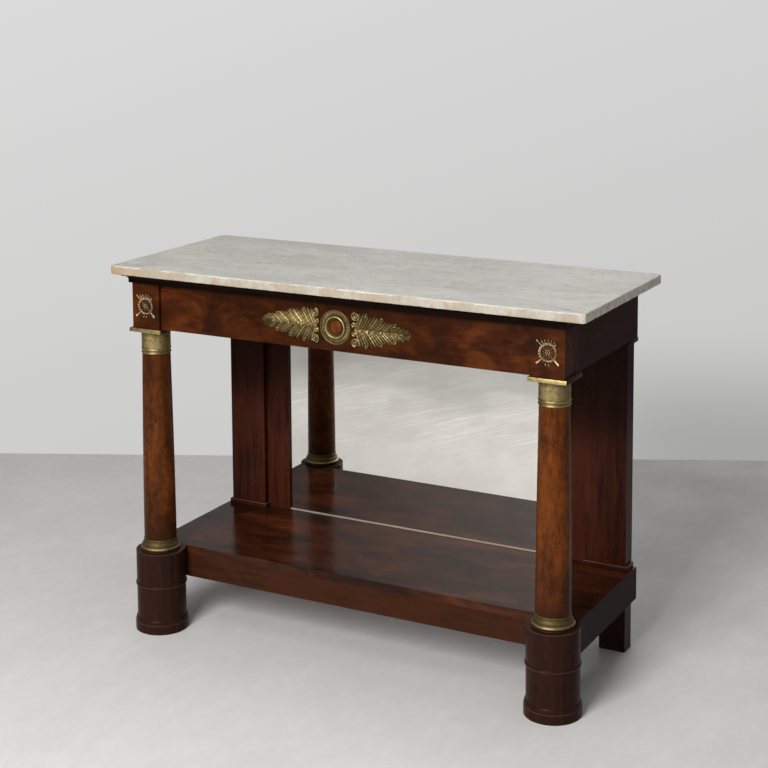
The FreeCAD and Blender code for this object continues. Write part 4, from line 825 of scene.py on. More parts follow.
def turn_pieces(stem, outline, finish, steps, loop_rows=False, swell=None, share=None):
    """The same turned piece on the left and on the right, each replacing its node."""
    for side, sign in SIDES.items():
        grid = spun(outline, steps, sign * AXIS_X, AXIS_Y, swell)
        relief = None if share is None else [share(around(steps), outline)]
        make_piece(f"{stem}_{side}_turned", [grid], finish, [f"{stem}_{side}"], loop_rows=loop_rows, relief=relief)


def turned_pair(stem, outline, finish, steps, share=1.0):
    """Both turned pieces of a grouped node, as one object with one share for its finish."""
    grids = [spun(outline, steps, sign * AXIS_X, AXIS_Y) for sign in SIDES.values()]
    make_piece(f"{stem}_turned", grids, finish, [stem], loop_rows=True,
               relief=[np.full(grid.shape[:2], share) for grid in grids])


def rubbed_highlight_lines(*places, reach=1.0):
    """Share for an outline: 0 at the rubbed places, which carry a painted highlight, given as (radius, height), and 1
    from their reach on.
    """
    def share(turn, outline):
        away = np.min([np.hypot(*(outline / MM - place).T) for place in places], axis=0)
        return np.clip(away / reach, 0, 1)[:, None] * np.ones_like(turn)
    return share


def shares_by_height(foot, table):
    """Share for an outline, read from a table of (heights above its foot, shares)."""
    def share(turn, outline):
        return np.interp(outline[:, 1:] / MM - foot, *table) * np.ones_like(turn)
    return share


# ---------------- gilt mounts
LEAF_TIPS = np.array([(58, 38.5), (78, 38), (96, 36), (114, 31.5), (131, 27), (148, 22.5), (162, 18.8),
                      (173, 16.6), (182, 11.5), (187, 0)])
LEAF_ROOTS = np.array([46, 57, 69, 84, 101, 120, 138, 152, 161, 166])
LEAFLETS = 22
LEAF_LOBES = 4.5
LOBE_START = 0.15
VOLUTE, SCROLL = (50.8, 28.6), (46.8, 10.2)
RING_IN, TORUS_IN, TORUS_OUT, RIM_IN, RIM_OUT = 16.0, 20.6, 25.6, 35.4, 38.5
RING_LEAVES, RING_LEAF_LENGTH = 36, 10.2
WREATH_IN, WREATH_OUT, WREATH_LEAVES = 14.8, 21.2, 20


def spray_line(root, tip, bend):
    """A centre line with one bend, pushed aside at its middle."""
    control = (np.asarray(root) + np.asarray(tip)) / 2 + bend
    return curve(root, control, tip, 12)


def tapered(count, full, start=0.15, end=0.9):
    """Widths along a blade: up from nothing by u^0.7, full near the middle, down by a square root."""
    u = np.linspace(0, 1, count)
    return full * np.clip(u / start, 0, 1) ** 0.7 * np.clip((1 - u) / (1 - end), 0, 1) ** 0.5


def spiral(centre, radius, turns, sign, count):
    """A volute's line: centre + r (cos a, sin a), where r shrinks evenly as the angle a winds in."""
    angle = np.linspace(0, 2 * np.pi * turns, count)
    reach = radius * (1 - 0.72 * angle / angle[-1])
    turned = angle * sign + np.pi * 0.5 * sign
    return np.asarray(centre) + np.stack([reach * np.cos(turned), reach * np.sin(turned)], -1)


def leaf_sheet(relief):
    """The spray's body: leaflets side by side from the spine to a lobed edge, pointing to the spray's tip.

    s runs from the ring to the tip and t from the spine to the edge. A point lies on a bend from the spine's
    root(s) to the edge's tip(s); the edge draws in by |sin| between lobes and by sqrt(1 - p^2) between
    leaflets, where p runs from -1 to 1 across a leaflet. The height is a half-round over p that swells and
    sinks along t, with curls of its own along each leaflet. Both halves and the flat back make one closed
    loop for each s.
    """
    s = np.linspace(0, 1, LEAFLETS * 12 + 1)
    stops = np.linspace(0, 1, len(LEAF_TIPS))
    tip = np.stack([np.interp(s, stops, column) for column in LEAF_TIPS.T], -1)
    root = np.stack([np.interp(s, stops, LEAF_ROOTS), np.zeros_like(s)], -1)
    across = ((s * LEAFLETS) % 1.0) * 2 - 1
    across[-1] = 0.0
    lobe = np.abs(np.sin(np.pi * (LEAF_LOBES * s + LOBE_START))) ** 0.7
    notch = np.interp(s, [0, 0.80, 0.90, 1], [0.34, 0.30, 0.10, 0.06])
    reach = (0.86 + 0.14 * lobe) * (1 - notch * (1 - (1 - np.abs(across) ** 1.6) ** 0.7))
    reach = np.where(s > 0.90, 1 - notch * (1 - half_round(across)), reach)
    tip = root + (tip - root) * reach[:, None]
    bend = root + (tip - root) * np.array([0.56, 0.40])
    t = np.linspace(0, 1, 30)[:, None]
    out = t[..., None]
    flat = (1 - out) ** 2 * root + 2 * out * (1 - out) * bend + out ** 2 * tip
    number = np.minimum((s * LEAFLETS).astype(int), LEAFLETS - 1)
    glint = 0.78 + 0.34 * np.sin(number * 2.4 + np.array([[0.0], [1.7]]))
    vein = 0.5 + 0.5 * np.cos(np.pi * 4 * across)
    ridge = (1 - np.abs(across) ** 1.5) * (0.78 + 0.22 * vein)
    run = np.interp(t, [0, 0.12, 0.35, 0.75, 0.88, 0.96, 1], [0.55, 0.85, 1.0, 0.85, 0.92, 0.70, 0.25])
    curls = 0.5 + 0.5 * np.sin(2 * np.pi * (4.5 * t + 0.37 * number))
    height = 0.6 * MM + run * relief * (0.14 + 0.86 * ridge) * (0.72 + 0.28 * lobe) * (0.80 + 0.20 * curls)
    # The curls also brighten the gilding along each leaflet, as glint does leaflet by leaflet: painted glints.
    fade = np.interp(t, [0, 0.08, 0.50, 0.74, 1], [0.8, 1.0, 1.0, 0.62, 0.34]) * (0.58 + 0.62 * curls)
    dim = np.interp(s, [0, 0.62, 0.85, 1], [1.0, 1.0, 0.8, 0.55])
    share = np.clip(fade * dim * (0.16 + 0.84 * ridge ** 1.3) * (0.7 + 0.5 * lobe), 0.0, 1.0)
    height[:, 0] = 0.0
    flat_loop = np.concatenate([flat[::-1], flat[1:] * np.array([1, -1])])
    high_loop = np.concatenate([height[::-1], height[1:]])
    share_loop = np.clip(np.concatenate([share[::-1] * glint[0], share[1:] * glint[1]]), 0.0, 1.0)
    loop = np.concatenate([flat_loop, flat_loop[::-1]]) * MM
    forward = np.concatenate([high_loop, np.zeros_like(high_loop)])
    points = np.stack([loop[..., 0], DRAWER_FACE - forward, MOUNT_LEVEL + loop[..., 1]], -1)
    return points.transpose(1, 0, 2), np.concatenate([share_loop, np.zeros_like(share_loop)]).T


def spray_grids(relief):
    """The right spray, measured from the ring's middle: leaf, curled tips, volutes, scrolls, rib and beads."""
    sheet, share = leaf_sheet(relief)
    grids, shares = [sheet], [share]

    def blade_on(line, taper, rise, base, bright=1.0):
        """A blade as wide as its taper, risen by the taper's share of rise, with its bright line on top."""
        shape = blade(np.asarray(line) * MM + np.array([0, MOUNT_LEVEL]), taper * MM, taper * rise * MM,
                      DRAWER_FACE, base * MM)
        grids.append(shape)
        crest = np.concatenate([np.sin(np.linspace(0, np.pi, shape.shape[1] - 2)), [0, 0]])
        shares.append(np.clip(crest[None] * bright, 0, 1) * np.ones((len(shape), 1)))

    def coil(centre, radius, turns, sign, count, widths, rise, base):
        """A spiral blade, pointed at both ends."""
        taper = np.linspace(*widths, count)
        taper[[0, -1]] = 0.0
        blade_on(spiral(centre, radius, turns, sign, count), taper, rise, base)

    def bead(x, up, radii, steps=14, rings=9):
        a, b, c = (r * MM for r in radii)
        grids.append(ball((x * MM, DRAWER_FACE - 0.8 * b, MOUNT_LEVEL + up * MM), (a, b, c), steps, rings))
        shares.append(np.ones(grids[-1].shape[:2]))

    def edge_at(s):
        """The sheet's edge above the spine, as (x, up)."""
        return [np.interp(s, np.linspace(0, 1, len(LEAF_TIPS)), column) for column in LEAF_TIPS.T]

    for sign in (1, -1):
        for lobe in range(3):
            x, up = edge_at((lobe + 0.72 - LOBE_START) / LEAF_LOBES)
            coil((x - 2.2, sign * (up - 3.6)), 4.6, 1.1, -sign, 26, (0.95, 0.6), 2.4, 1.2)
        x, up = VOLUTE
        coil((x, sign * up), 9.8, 1.9, sign, 66, (1.35, 0.95), 1.6, 1.1)
        bead(x, sign * up, (2.3, 3.0, 2.3))
        x, up = SCROLL
        coil((x, sign * up), 5.6, 1.35, -sign, 34, (1.5, 1.0), 1.6, 1.0)
        bead(x, sign * up, (1.6, 2.6, 1.6), 10, 7)
    rib = np.stack([np.linspace(44, 168, 50), np.zeros(50)], -1)
    blade_on(rib, tapered(50, 1.0, 0.06, 0.94), 1.2, 1.9, 0.7)
    for number in range(2, LEAFLETS - 3):
        x, up = edge_at((number + 0.5) / LEAFLETS)
        inner = number % 2
        for sign in (1, -1):
            if (number * 2 + sign) % 3:
                bead(x - 1.6 - 2.4 * inner, sign * (up - 3.0 - 3.0 * inner), (1.5, 3.4, 1.2), 10, 7)
    for x, size in ((66, 2.6), (83, 3.6), (99, 2.6), (115.6, 3.4), (134, 2.6)):
        bead(x, 0, (size * 0.8, 4.4, size * 1.3))
    for x, up in ((155, 0), (151, 3.4), (151, -3.4)):
        bead(x, up, (2.3, 4.2, 2.3))
    return grids, shares


def ring_height(r, turn):
    """Medallion relief: a hollow at the middle, a bright torus, a band of fine radial leaves and a rim.

    Torus and rim are half-rounds over r; a leaf's height is sqrt(1 - (p/w)^2) across its own sector p, with a
    width w that swells outwards and a groove along its middle.
    """
    def torus(low, high, top):
        return top * MM * half_round((r / MM - (low + high) / 2) / ((high - low) / 2))

    hollow = (0.9 + 2.0 * np.clip((r / MM - RING_IN) / 5.5, 0, 1) ** 1.6) * MM * (r < 25.0 * MM)
    band = np.clip((r / MM - TORUS_OUT) / RING_LEAF_LENGTH, 0, 1)
    sector = (turn * RING_LEAVES / (2 * np.pi)) % 1.0 - 0.5
    width = 0.47 * np.sqrt(np.clip(1 - (1.6 * band - 0.9) ** 2, 0.02, 1))
    leaf = half_round(sector / width) - 0.45 * np.exp(-((sector / 0.09) ** 2))
    swell = np.sin(np.pi * band) ** 0.5
    leaves = (1.1 + 2.4 * np.clip(leaf, 0, 1) * swell) * MM * ((r > 25.4 * MM) & (r < 35.9 * MM))
    rings = np.maximum.reduce([hollow, torus(TORUS_IN, TORUS_OUT, 4.9), torus(RIM_IN, RIM_OUT, 2.8)])
    return np.maximum(rings, leaves)


def torch_grids(angle, low):
    """One torch about its own axis: a pointed flame, a slender staff and a ribbed flared cup."""
    reach = np.linspace(low, 37.0, 60)
    radius = np.interp(reach, [low, low + 1.5, low + 5, low + 7.5, low + 8.5, 20, 21, 22.5, 25, 33, 35.5, 37.0],
                       [0.0, 1.4, 2.7, 1.9, 1.2, 1.3, 2.1, 2.3, 2.6, 4.3, 3.9, 0.0])
    ribs = 1 + 0.12 * np.cos(reach[:, None] * 2.4) * (reach[:, None] > 22)
    turn = around(14)
    out = np.maximum(radius[:, None] * np.sin(turn) * 0.8 * ribs + 1.0, 0.0)
    side = radius[:, None] * np.cos(turn) * ribs
    x = reach[:, None] * math.cos(angle) - side * math.sin(angle)
    up = reach[:, None] * math.sin(angle) + side * math.cos(angle)
    grid = np.stack([x, -out, up], -1) * MM
    outside = np.abs(reach[:, None]) > 21.0
    return grid, np.clip(np.sin(turn), 0, 1) * np.where(outside, 1.0, 0.35)


def wreath_grids():
    """The right corner mount about its own middle: crossed torches, wreath, rays, rosette, beads and drops."""
    grids, shares = [], []

    def add(grid, share=1.0):
        grids.append(grid)
        shares.append(np.broadcast_to(share, grid.shape[:2]))

    add(*torch_grids(math.radians(-45), -37.0))
    add(*torch_grids(math.radians(-135), -27.0))

    def wreath_height(r, turn):
        """A dome across the band, with leaves whose tips trail behind their middles."""
        share = (r / MM - WREATH_IN) / (WREATH_OUT - WREATH_IN)
        leaf = 0.5 + 0.5 * np.cos(turn * WREATH_LEAVES + np.abs(share - 0.5) * 9.0)
        return (0.6 + half_round(2 * share - 1) * (1.5 + 1.3 * leaf)) * MM

    wreath = polar_relief(np.linspace(WREATH_IN, WREATH_OUT, 13) * MM, 200, wreath_height, 0.0, 0.0, 0.0)
    wreath = np.concatenate([wreath, wreath[:1]])
    add(wreath, np.clip(-wreath[..., 1] / (3.1 * MM), 0.2, 1.0) ** 1.5)
    for angle in np.radians([58, 73, 88, 103, 118]):
        ray = np.array([math.cos(angle), math.sin(angle)])
        add(blade(spray_line(ray * 20.0, ray * 28.5, (1.4 * np.sign(ray[0]), 0)) * MM, tapered(12, 1.5) * MM,
                  tapered(12, 1.8) * MM, 0.0, 0.6 * MM))

    def bead(x, up, out, radii, steps, rings, share=1.0):
        add(ball((x * MM, -out * MM, up * MM), [r * MM for r in radii], steps, rings), share)

    for angle in np.arange(6) * np.pi / 3:
        bead(math.cos(angle) * 4.6, math.sin(angle) * 4.6, 1.7, (2.1, 1.2, 2.1), 12, 7, 0.8)
    bead(0, 0, 2.4, (1.8, 1.4, 1.8), 12, 7)
    for angle in np.arange(12) * np.pi / 6 + 0.26:
        bead(math.cos(angle) * 9.6, math.sin(angle) * 9.6, 1.0, (1.5, 0.9, 1.5), 8, 5, 0.45)
    for x, up in ((-4.5, -25.0), (2.5, -25.6)):
        bead(x, up, 1.4, (2.0, 1.6, 2.8), 12, 9)
    return grids, shares


# ---------------- operators
PAINTED = {
    "marble": ["marble_top"],
    "cornice": ["cornice_front"],
    "cornice_side": ["cornice_left", "cornice_right"],
    "back_rail": ["mirror_top_rail"],
    "deep": ["side_rail_left", "side_rail_right"],
    "flame": ["drawer_front", "corner_block_left", "corner_block_right"],
    "upright": ["pilaster_left", "pilaster_right", "mirror_stile_left", "mirror_stile_right"],
    "platform": ["platform_top", "platform_corners", "platform_side_rails"],
    "rail": ["platform_front_rail"],
    "foot": ["rear_leg_left", "rear_leg_right"],
    "carcase": ["top_back_rail", "frieze_back_rail", "drawer_lower_bearer", "drawer_upper_bearer", "drawer_back",
                "platform_back_rail", "glass_blocks", "foot_dowels"],
    "carcase_deep": ["top_cross_rail", "drawer_runners", "drawer_guides", "drawer_kickers", "drawer_side_left",
                     "drawer_side_right", "drawer_bottom"],
    "carcase_upright": ["mirror_backboard"],
    "mirror": ["mirror_glass"]}

# The boss in the ring: its radii and the share of light left at each, then at its foot and back.
# Towards its rim the boss takes a painted shade, as under the ring's torus.
BOSS_RADII = np.array([0.0, 3.0, 6.0, 9.0, 12.0, 14.5, 15.6, 15.8])[:, None] * MM
BOSS_LIGHT_SHARE = np.array([1.0, 1.0, 1.0, 0.9, 0.7, 0.35, 0.2, 0.1, 0.0, 0.0])[:, None]

CHASED = 50                         # degrees between faces from which a chased mount's edge is sharp

SCREW_RADIUS, SCREW_DOME, SLOT_WIDTH = 3.4 * MM, 0.9 * MM, 0.5 * MM
SCREWS_IN = 15 * MM                 # how far the screws stand in from the back board's sides
SCREWS_UP, SCREWS_DOWN = 14 * MM, 10 * MM
SIDE_SCREWS_IN = 140 * MM           # how far the first and last side screws stand from its ends

FLOOR_DEPTH, FLOOR_HALF_WIDTH, FLOOR_LINES = 12.0, 8.0, 13
LAMP_AIM = Vector((0.0, 0.0, 0.45))
WARM_WHITE, WHITE = (1.0, 0.992, 0.98), (1.0, 1.0, 1.0)
SENSOR_WIDTH = 36.0
CLIP_NEAR, CLIP_FAR = 0.05, 100.0


class PIERTABLE_OT_finishes(bpy.types.Operator):
    """Mix the finishes and lay them on the frame's own pieces"""

    bl_idname = "piertable.finishes"
    bl_label = "Finishes"

    def execute(self, context):
        mix_finishes(context.scene.pier_table_finishes)
        for finish, nodes in PAINTED.items():
            paint(finish, nodes)
        return {"FINISHED"}


class PIERTABLE_OT_slab(bpy.types.Operator):
    """Rub the marble slab's arrises and corners"""

    bl_idname = "piertable.slab"
    bl_label = "Marble slab"

    def execute(self, context):
        low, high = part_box("marble_top")
        sizes = context.scene.pier_table_sizes
        slab = worn_slab(low, high, (sizes.slab_front_radius, sizes.slab_back_radius), sizes.slab_ease)
        make_piece("marble_top_worn", [slab], "marble", ["marble_top"])
        return {"FINISHED"}


class PIERTABLE_OT_columns(bpy.types.Operator):
    """Turn the two shafts"""

    bl_idname = "piertable.columns"
    bl_label = "Columns"

    def execute(self, context):
        steps = context.scene.pier_table_sizes.turning_steps
        turn_pieces("column", shaft_outline(), "column", steps, share=shares_by_height(BASE_HIGH, SHAFT_FOOT_SHADE))
        return {"FINISHED"}


class PIERTABLE_OT_capitals(bpy.types.Operator):
    """Turn and chase the gilt capitals and bases"""

    bl_idname = "piertable.capitals"
    bl_label = "Capitals and bases"

    def execute(self, context):
        sizes = context.scene.pier_table_sizes
        cells, rows, depth = sizes.lattice_cells, sizes.lattice_rows, sizes.lattice_depth
        low, high = LATTICE_LOW * MM, LATTICE_HIGH * MM

        def diamond(turn, height):
            """Raised diamonds: 1 - max(a, b)^3 over two crossing diagonals, only inside the lattice's band."""
            up = (height - low) / (high - low) * rows
            first = np.abs(((turn * cells / (2 * np.pi) + up) % 1.0) * 2 - 1)
            second = np.abs(((turn * cells / (2 * np.pi) - up) % 1.0) * 2 - 1)
            inside = (height >= low - 1e-9) & (height <= high + 1e-9)
            return np.where(inside, 1 - np.maximum(first, second) ** 3, LATTICE_REST)

        def share(turn, outline):
            level = outline[:, 1:] / MM - CAPITAL_LOW
            rings = np.interp(level, *RINGS_RUBBED)
            return np.where(level < BELOW_LATTICE, rings, np.clip(diamond(turn, outline[:, 1:]) * 0.88, 0.1, 1.0))

        turn_pieces("capital", capital_outline(), "gilt", cells * 10, loop_rows=True, share=share,
                    swell=lambda turn, height: (diamond(turn, height) - LATTICE_REST) * depth)
        turn_pieces("base_ring", base_outline(), "gilt", sizes.turning_steps, loop_rows=True,
                    share=shares_by_height(BASE_LOW, BASE_RUBBED_AND_SHADED))
        return {"FINISHED"}


class PIERTABLE_OT_plates(bpy.types.Operator):
    """Ease the edges of the square plates, their gilt strips and the pilasters' plinths and caps"""

    bl_idname = "piertable.plates"
    bl_label = "Plates and plinths"

    def execute(self, context):
        ease = context.scene.pier_table_sizes.edge_ease
        for node, finish, edge in (("abacus_plates", "across", ease), ("abacus_strips", "gilt", ease * 0.8)):
            low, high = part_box(node)
            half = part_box("abacus_plates")[1].x - AXIS_X
            right = [eased_board((AXIS_X - half, low.y, low.z), (AXIS_X + half, high.y, high.z), edge)]
            make_piece(f"{node}_eased", both_sides(right), finish, [node])
        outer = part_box("pilaster_right")[0]
        stile_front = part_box("mirror_stile_right")[0].y
        for node, edge in (("pilaster_plinths", 2.4 * ease), ("pilaster_caps", ease)):
            low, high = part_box(node)
            out = outer.y - low.y
            right = [eased_board((outer.x - out, low.y, low.z), (high.x, stile_front, high.z), edge),
                     eased_board((outer.x + 1 * MM, stile_front - 2 * edge, low.z), high, edge)]
            # The top arris of plinths and caps is paled: wear with a painted highlight.
            rubbed = [np.where(np.abs(grid[..., 2] - high.z + 0.3 * edge) < 0.25 * edge, 0.0, 1.0)
                      for grid in right]
            make_piece(f"{node}_eased", both_sides(right), "plinth", [node], relief=rubbed + rubbed)
        return {"FINISHED"}


class PIERTABLE_OT_feet(bpy.types.Operator):
    """Turn the drum feet with their beads and rings, and the thin gilt discs on top"""

    bl_idname = "piertable.feet"
    bl_label = "Drum feet"

    def execute(self, context):
        steps = context.scene.pier_table_sizes.turning_steps
        upper = profile((0, DRUM_TOP), (56.0, DRUM_TOP), curve((56.0, DRUM_TOP), (57.6, DRUM_TOP), (57.6, 190.4), 5),
                        (57.6, 115.2), (57.9, 114.8), curve((58.0, 114.6), (59.6, 114.6), (59.8, 112.2), 6),
                        curve((59.8, 111.4), (59.8, 108.2), (57.7, BEAD_HIGH), 7), (0, BEAD_HIGH))
        # The drums' top edges, the astragal and the ring's ledge get pale lines: wear with a painted highlight.
        turn_pieces("foot_upper", upper, "drum", steps, share=rubbed_highlight_lines((57.4, 191.6), (59.8, 111.0)))
        radius = LOWER_DRUM_RADIUS
        lower = profile((0, BEAD_LOW), (56.9, BEAD_LOW), (radius, 104.1), (radius, 34), (radius, RING_HIGH),
                        (48, RING_HIGH), (48, 0.2), (0, 0.2))
        turn_pieces("foot_lower", lower, "drum", steps)
        bead = profile((20.1, BEAD_LOW), (radius, BEAD_LOW), curve((57.3, 104.6), (58.4, 106.0), (57.3, 107.4)),
                       (radius, BEAD_HIGH), (20.1, BEAD_HIGH))
        out = RING_RADIUS
        ring = profile((48.1, 0), (61.2, 0), curve((61.2, 0), (out, 0), (out, 0.9), 5), (out, 20.3),
                       curve((out, 20.6), (out, 21.5), (61.3, 21.5), 4), (60.8, 21.5),
                       curve((60.8, 21.7), (61.0, 31.0), (57.3, 33.4), 10), (radius, RING_HIGH), (48.1, RING_HIGH))
        turn_pieces("foot_ring", ring, "drum", steps, loop_rows=True, share=rubbed_highlight_lines((61.6, 21.4)))
        turned_pair("foot_beads", bead, "drum", steps)
        disc = profile((15.1, DRUM_TOP), (44.6, DRUM_TOP), curve((44.6, DRUM_TOP), (45.6, 192.8), (44.6, 193.4), 5),
                       (15.1, 193.5))
        # The thin gilt discs under the torus stay dull: a painted shade under the torus.
        turned_pair("base_discs", disc, "gilt", steps, share=0.02)
        return {"FINISHED"}


class PIERTABLE_OT_mounts(bpy.types.Operator):
    """Chase the ring, the leaf sprays and the corner wreaths"""

    bl_idname = "piertable.mounts"
    bl_label = "Gilt mounts"

    def execute(self, context):
        radii = np.concatenate([np.linspace(RING_IN, TORUS_IN, 6), np.linspace(TORUS_IN + 0.4, TORUS_OUT, 11),
                                np.linspace(TORUS_OUT + 0.4, RIM_IN, 16), np.linspace(RIM_IN + 0.4, RIM_OUT, 8)]) * MM
        ring = polar_relief(radii, 432, ring_height, 0.0, MOUNT_LEVEL, DRAWER_FACE)
        out = np.clip((DRAWER_FACE - ring[..., 1]) / (3.6 * MM), 0.0, 1) ** 2.4
        from_middle = np.hypot(ring[..., 0], ring[..., 2] - MOUNT_LEVEL)
        out = out * np.where(from_middle < 20.8 * MM, 0.2, 1.0) * np.where(from_middle > 25.8 * MM, 0.7, 1.0)
        make_piece("ring_mount_chased", [ring], "gilt", ["ring_mount"], "drawer", loop_rows=True, relief=[out],
                   sharp=CHASED)
        turn = around(48)
        rise = 2.6 * MM * (1 - (BOSS_RADII / BOSS_RADII[-1]) ** 2) + 0.2 * MM
        dome = np.stack([BOSS_RADII * np.cos(turn), DRAWER_FACE - rise * np.ones_like(turn),
                         MOUNT_LEVEL + BOSS_RADII * np.sin(turn)], -1)
        foot = dome[-1:] * np.array([1, 0, 1]) + np.array([0, DRAWER_FACE, 0])
        under = np.broadcast_to([0, DRAWER_FACE, MOUNT_LEVEL], foot.shape)
        make_piece("ring_boss_turned", [np.concatenate([dome, foot, under])], "boss", body="drawer",
                   relief=[BOSS_LIGHT_SHARE])
        grids, shares = spray_grids(context.scene.pier_table_sizes.leaf_relief)
        make_piece("spray_mounts_chased", both_sides(grids), "gilt", ["spray_mounts"], "drawer",
                   relief=shares + shares, sharp=CHASED)
        grids, shares = wreath_grids()
        middle_right = np.array([AXIS_X, BLOCK_FACE, MOUNT_LEVEL])
        both = [grid + spot for spot in (middle_right, middle_right * MIRRORED) for grid in grids]
        make_piece("wreath_mounts_chased", both, "worn_gilt", ["wreath_mounts"], relief=shares + shares,
                   sharp=CHASED)
        return {"FINISHED"}


class PIERTABLE_OT_mirror(bpy.types.Operator):
    """Round the bead at the glass's foot and drive the back board's screws"""

    bl_idname = "piertable.mirror"
    bl_label = "Mirror back"

    def execute(self, context):
        low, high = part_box("mirror_fillet")
        turn = np.linspace(0, np.pi / 2, 8)
        depth, rise = high.y - low.y, high.z - low.z
        section = np.stack([high.y - depth * np.cos(turn), low.z + rise * np.sin(turn)], -1)
        section = np.concatenate([section, [[high.y, low.z]]])
        centre = np.broadcast_to([high.y - depth / 3, low.z + rise / 3], section.shape)
        rows = [np.insert(flat, 0, x, axis=1) for x, flat in ((-high.x, centre), (-high.x, section),
                                                              (high.x, section), (high.x, centre))]
        make_piece("mirror_fillet_rounded", [np.stack(rows)], "fillet", ["mirror_fillet"])
        heads = [self.screw_head(x, z)
                 for x in np.linspace(BACKBOARD_LOW.x + SCREWS_IN, BACKBOARD_HIGH.x - SCREWS_IN, 5)
                 for z in (BACKBOARD_LOW.z + SCREWS_UP, BACKBOARD_HIGH.z - SCREWS_DOWN)]
        heads += [self.screw_head(sign * (BACKBOARD_HIGH.x - SCREWS_IN), z)
                  for z in np.linspace(BACKBOARD_LOW.z + SIDE_SCREWS_IN, BACKBOARD_HIGH.z - SIDE_SCREWS_IN, 3)
                  for sign in (-1, 1)]
        make_piece("backboard_screws", heads, "iron")
        return {"FINISHED"}

    @staticmethod
    def screw_head(x, z):
        """A flat domed head: height 1 - (r/R)^2 outwards, less a slot across the middle."""
        turn = around(24)
        radius = np.linspace(0, 1, 8)[:, None] * SCREW_RADIUS
        slot = SLOT_WIDTH * (np.abs(radius * np.sin(turn)) < SLOT_WIDTH)
        out = SCREW_DOME * (1 - (radius / (SCREW_RADIUS + 0.2 * MM)) ** 2) - slot
        front = np.stack([x + radius * np.cos(turn), BACKBOARD_HIGH.y + out, z + radius * np.sin(turn)], -1)
        back = np.broadcast_to([x, BACKBOARD_HIGH.y - 0.4 * MM, z], front[:1].shape)
        return np.concatenate([front, back])


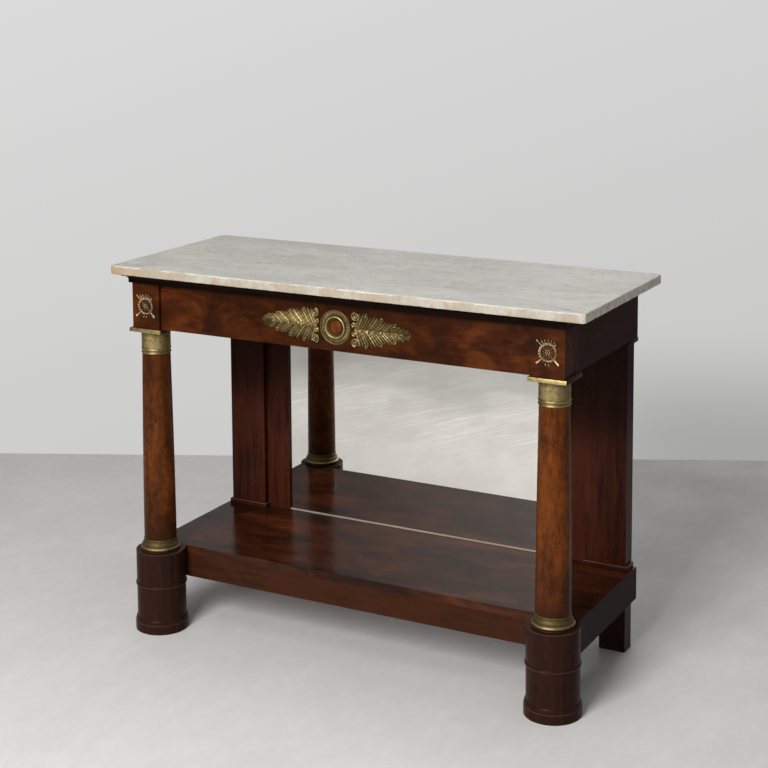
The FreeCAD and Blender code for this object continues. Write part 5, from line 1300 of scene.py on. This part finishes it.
class PIERTABLE_OT_stage(bpy.types.Operator):
    """Lay the floor, hang the lamps and set the camera"""

    bl_idname = "piertable.stage"
    bl_label = "Stage"

    def execute(self, context):
        studio = context.scene.pier_table_studio
        self.lay_floor(studio)
        self.light(context, studio)
        self.set_camera(context, studio)
        context.scene.view_settings.view_transform = "Standard"
        return {"FINISHED"}

    @staticmethod
    def lay_floor(studio):
        """A level grid whose far edge lies across the camera's direction."""
        turn = studio.camera_yaw + studio.floor_turn
        ahead = np.array([-math.sin(turn), math.cos(turn)])
        aside = np.array([ahead[1], -ahead[0]])
        start = np.array(studio.camera_place[:2])
        along = studio.floor_reach - np.linspace(0, FLOOR_DEPTH, FLOOR_LINES)
        across = np.linspace(-FLOOR_HALF_WIDTH, FLOOR_HALF_WIDTH, FLOOR_LINES)
        flat = start + along[:, None, None] * ahead + across[None, :, None] * aside
        points = np.insert(flat, 2, 0.0, axis=2).reshape(-1, 3)
        index = np.arange(FLOOR_LINES ** 2).reshape(FLOOR_LINES, FLOOR_LINES)
        faces = np.stack([index[:-1, 1:], index[1:, 1:], index[1:, :-1], index[:-1, :-1]], -1).reshape(-1, 4)
        mesh = bpy.data.meshes.new("floor")
        mesh.from_pydata(points.tolist(), [], faces.tolist())
        mesh.materials.append(floor_finish("floor", studio.floor_colour))
        floor = bpy.data.objects.new("floor", mesh)
        bpy.context.scene.collection.objects.link(floor)

    @staticmethod
    def light(context, studio):
        """Three soft area lamps, and a world that is a backdrop to the camera, the same backdrop dimmed
        from front to back and towards the right to reflections, and an even fill to all else.
        """
        for stem, tone in (("key", WARM_WHITE), ("low", WARM_WHITE), ("top", WHITE)):
            lamp = bpy.data.lights.new(f"{stem}_lamp", "AREA")
            lamp.energy, lamp.size = getattr(studio, f"{stem}_power"), getattr(studio, f"{stem}_size")
            lamp.color = tone
            holder = bpy.data.objects.new(f"{stem}_lamp", lamp)
            holder.location = getattr(studio, f"{stem}_place")
            aim = LAMP_AIM - holder.location
            holder.rotation_euler = aim.to_track_quat("-Z", "Y").to_euler()
            context.scene.collection.objects.link(holder)
        world = bpy.data.worlds.new("studio")
        world.use_nodes = True
        w = Nodes(world.node_tree)
        direction = w.put("TexCoord").outputs["Generated"]
        x, y, z = w.put("SeparateXYZ", {0: direction}).outputs
        wall = w.mix(w.spread(z, -0.30, 0.0, smooth=False), studio.backdrop_low, studio.backdrop_high)

        # In reflections: dim towards the front and low down, brightest left of the middle, dark to the right.
        front = w.spread(z, 0.02, 0.16, 0.3, 0.6, smooth=False)
        behind = w.spread(y, -0.2, 0.5, front, 1.0, smooth=False)
        aside = w.spread(x, -0.1, 0.5, 1.0, 0.14, smooth=False)
        below = w.spread(z, -0.06, 0.04, 0.3, 1.0, smooth=False)
        nearer = w.spread(x, -0.50, -0.37, 0.6, 1.9)
        dim = w.times(w.times(w.times(behind, aside), below), nearer)

        # To the camera: a shade low at the right, and a slow drift from left to right.
        right = (math.cos(studio.camera_yaw), math.sin(studio.camera_yaw), 0.0)
        over = w.put("VectorMath", {0: direction, 1: right}, operation="DOT_PRODUCT").outputs["Value"]
        corner = w.times(w.spread(over, 0.03, 0.17), w.spread(z, -0.215, -0.285))
        shade = w.times(w.spread(corner, 0.0, 1.0, 1.0, 0.68, smooth=False),
                        w.spread(over, -0.24, 0.24, 1.045, 0.96, smooth=False))

        ray = w.put("LightPath").outputs
        pale, seen, fill = (
            w.put("Background", {"Color": shown, "Strength": strength}).outputs[0]
            for shown, strength in ((wall, shade), (wall, dim), ((1, 1, 1, 1), studio.fill_strength)))
        reflected = w.math("MAXIMUM", ray["Is Glossy Ray"], ray["Is Transmission Ray"])
        unseen = w.put("MixShader", {0: reflected, 1: fill, 2: seen}).outputs[0]
        both = w.put("MixShader", {0: ray["Is Camera Ray"], 1: unseen, 2: pale}).outputs[0]
        w.put("OutputWorld", {0: both})
        context.scene.world = world

    @staticmethod
    def set_camera(context, studio):
        """The camera's axes from its yaw, pitch and roll."""
        yaw, pitch, roll = studio.camera_yaw, studio.camera_pitch, studio.camera_roll
        ahead = Vector((-math.sin(yaw) * math.cos(pitch), math.cos(yaw) * math.cos(pitch), -math.sin(pitch)))
        level = Vector((math.cos(yaw), math.sin(yaw), 0.0))
        upright = level.cross(ahead)
        right = level * math.cos(roll) + upright * math.sin(roll)
        up = upright * math.cos(roll) - level * math.sin(roll)
        data = bpy.data.cameras.new("camera")
        data.lens, data.sensor_width = studio.camera_lens, SENSOR_WIDTH
        data.shift_x, data.shift_y = studio.camera_shift
        data.clip_start, data.clip_end = CLIP_NEAR, CLIP_FAR
        camera = bpy.data.objects.new("camera", data)
        axes = Matrix((right, up, -ahead)).transposed().to_4x4()
        camera.matrix_world = Matrix.Translation(studio.camera_place) @ axes
        context.scene.collection.objects.link(camera)
        bpy.context.scene.camera = camera


# ---------------- panel and registration
OPERATORS = (PIERTABLE_OT_finishes, PIERTABLE_OT_slab, PIERTABLE_OT_columns, PIERTABLE_OT_capitals,
             PIERTABLE_OT_plates, PIERTABLE_OT_feet, PIERTABLE_OT_mounts, PIERTABLE_OT_mirror, PIERTABLE_OT_stage)
GROUPS = {"pier_table_sizes": PierTableSizes, "pier_table_finishes": PierTableFinishes,
          "pier_table_studio": PierTableStudio}


class PIERTABLE_PT_panel(bpy.types.Panel):
    """Pier table"""

    bl_idname = "PIERTABLE_PT_panel"
    bl_label = "Pier Table"
    bl_space_type = "VIEW_3D"
    bl_region_type = "UI"
    bl_category = "Pier Table"

    def draw(self, context):
        for attribute, group in GROUPS.items():
            box = self.layout.box()
            for name in group.__annotations__:
                box.prop(getattr(context.scene, attribute), name)
        for operator in OPERATORS:
            self.layout.operator(operator.bl_idname)


def register():
    for group in (*GROUPS.values(), *OPERATORS, PIERTABLE_PT_panel):
        bpy.utils.register_class(group)
    for attribute, group in GROUPS.items():
        setattr(bpy.types.Scene, attribute, bpy.props.PointerProperty(type=group))


def unregister():
    for attribute in GROUPS:
        delattr(bpy.types.Scene, attribute)
    for group in reversed((*GROUPS.values(), *OPERATORS, PIERTABLE_PT_panel)):
        bpy.utils.unregister_class(group)


def main():
    register()
    bpy.ops.piertable.finishes()
    bpy.ops.piertable.slab()
    bpy.ops.piertable.columns()
    bpy.ops.piertable.capitals()
    bpy.ops.piertable.plates()
    bpy.ops.piertable.feet()
    bpy.ops.piertable.mounts()
    bpy.ops.piertable.mirror()
    bpy.ops.piertable.stage()


if __name__ == "__main__":
    main()
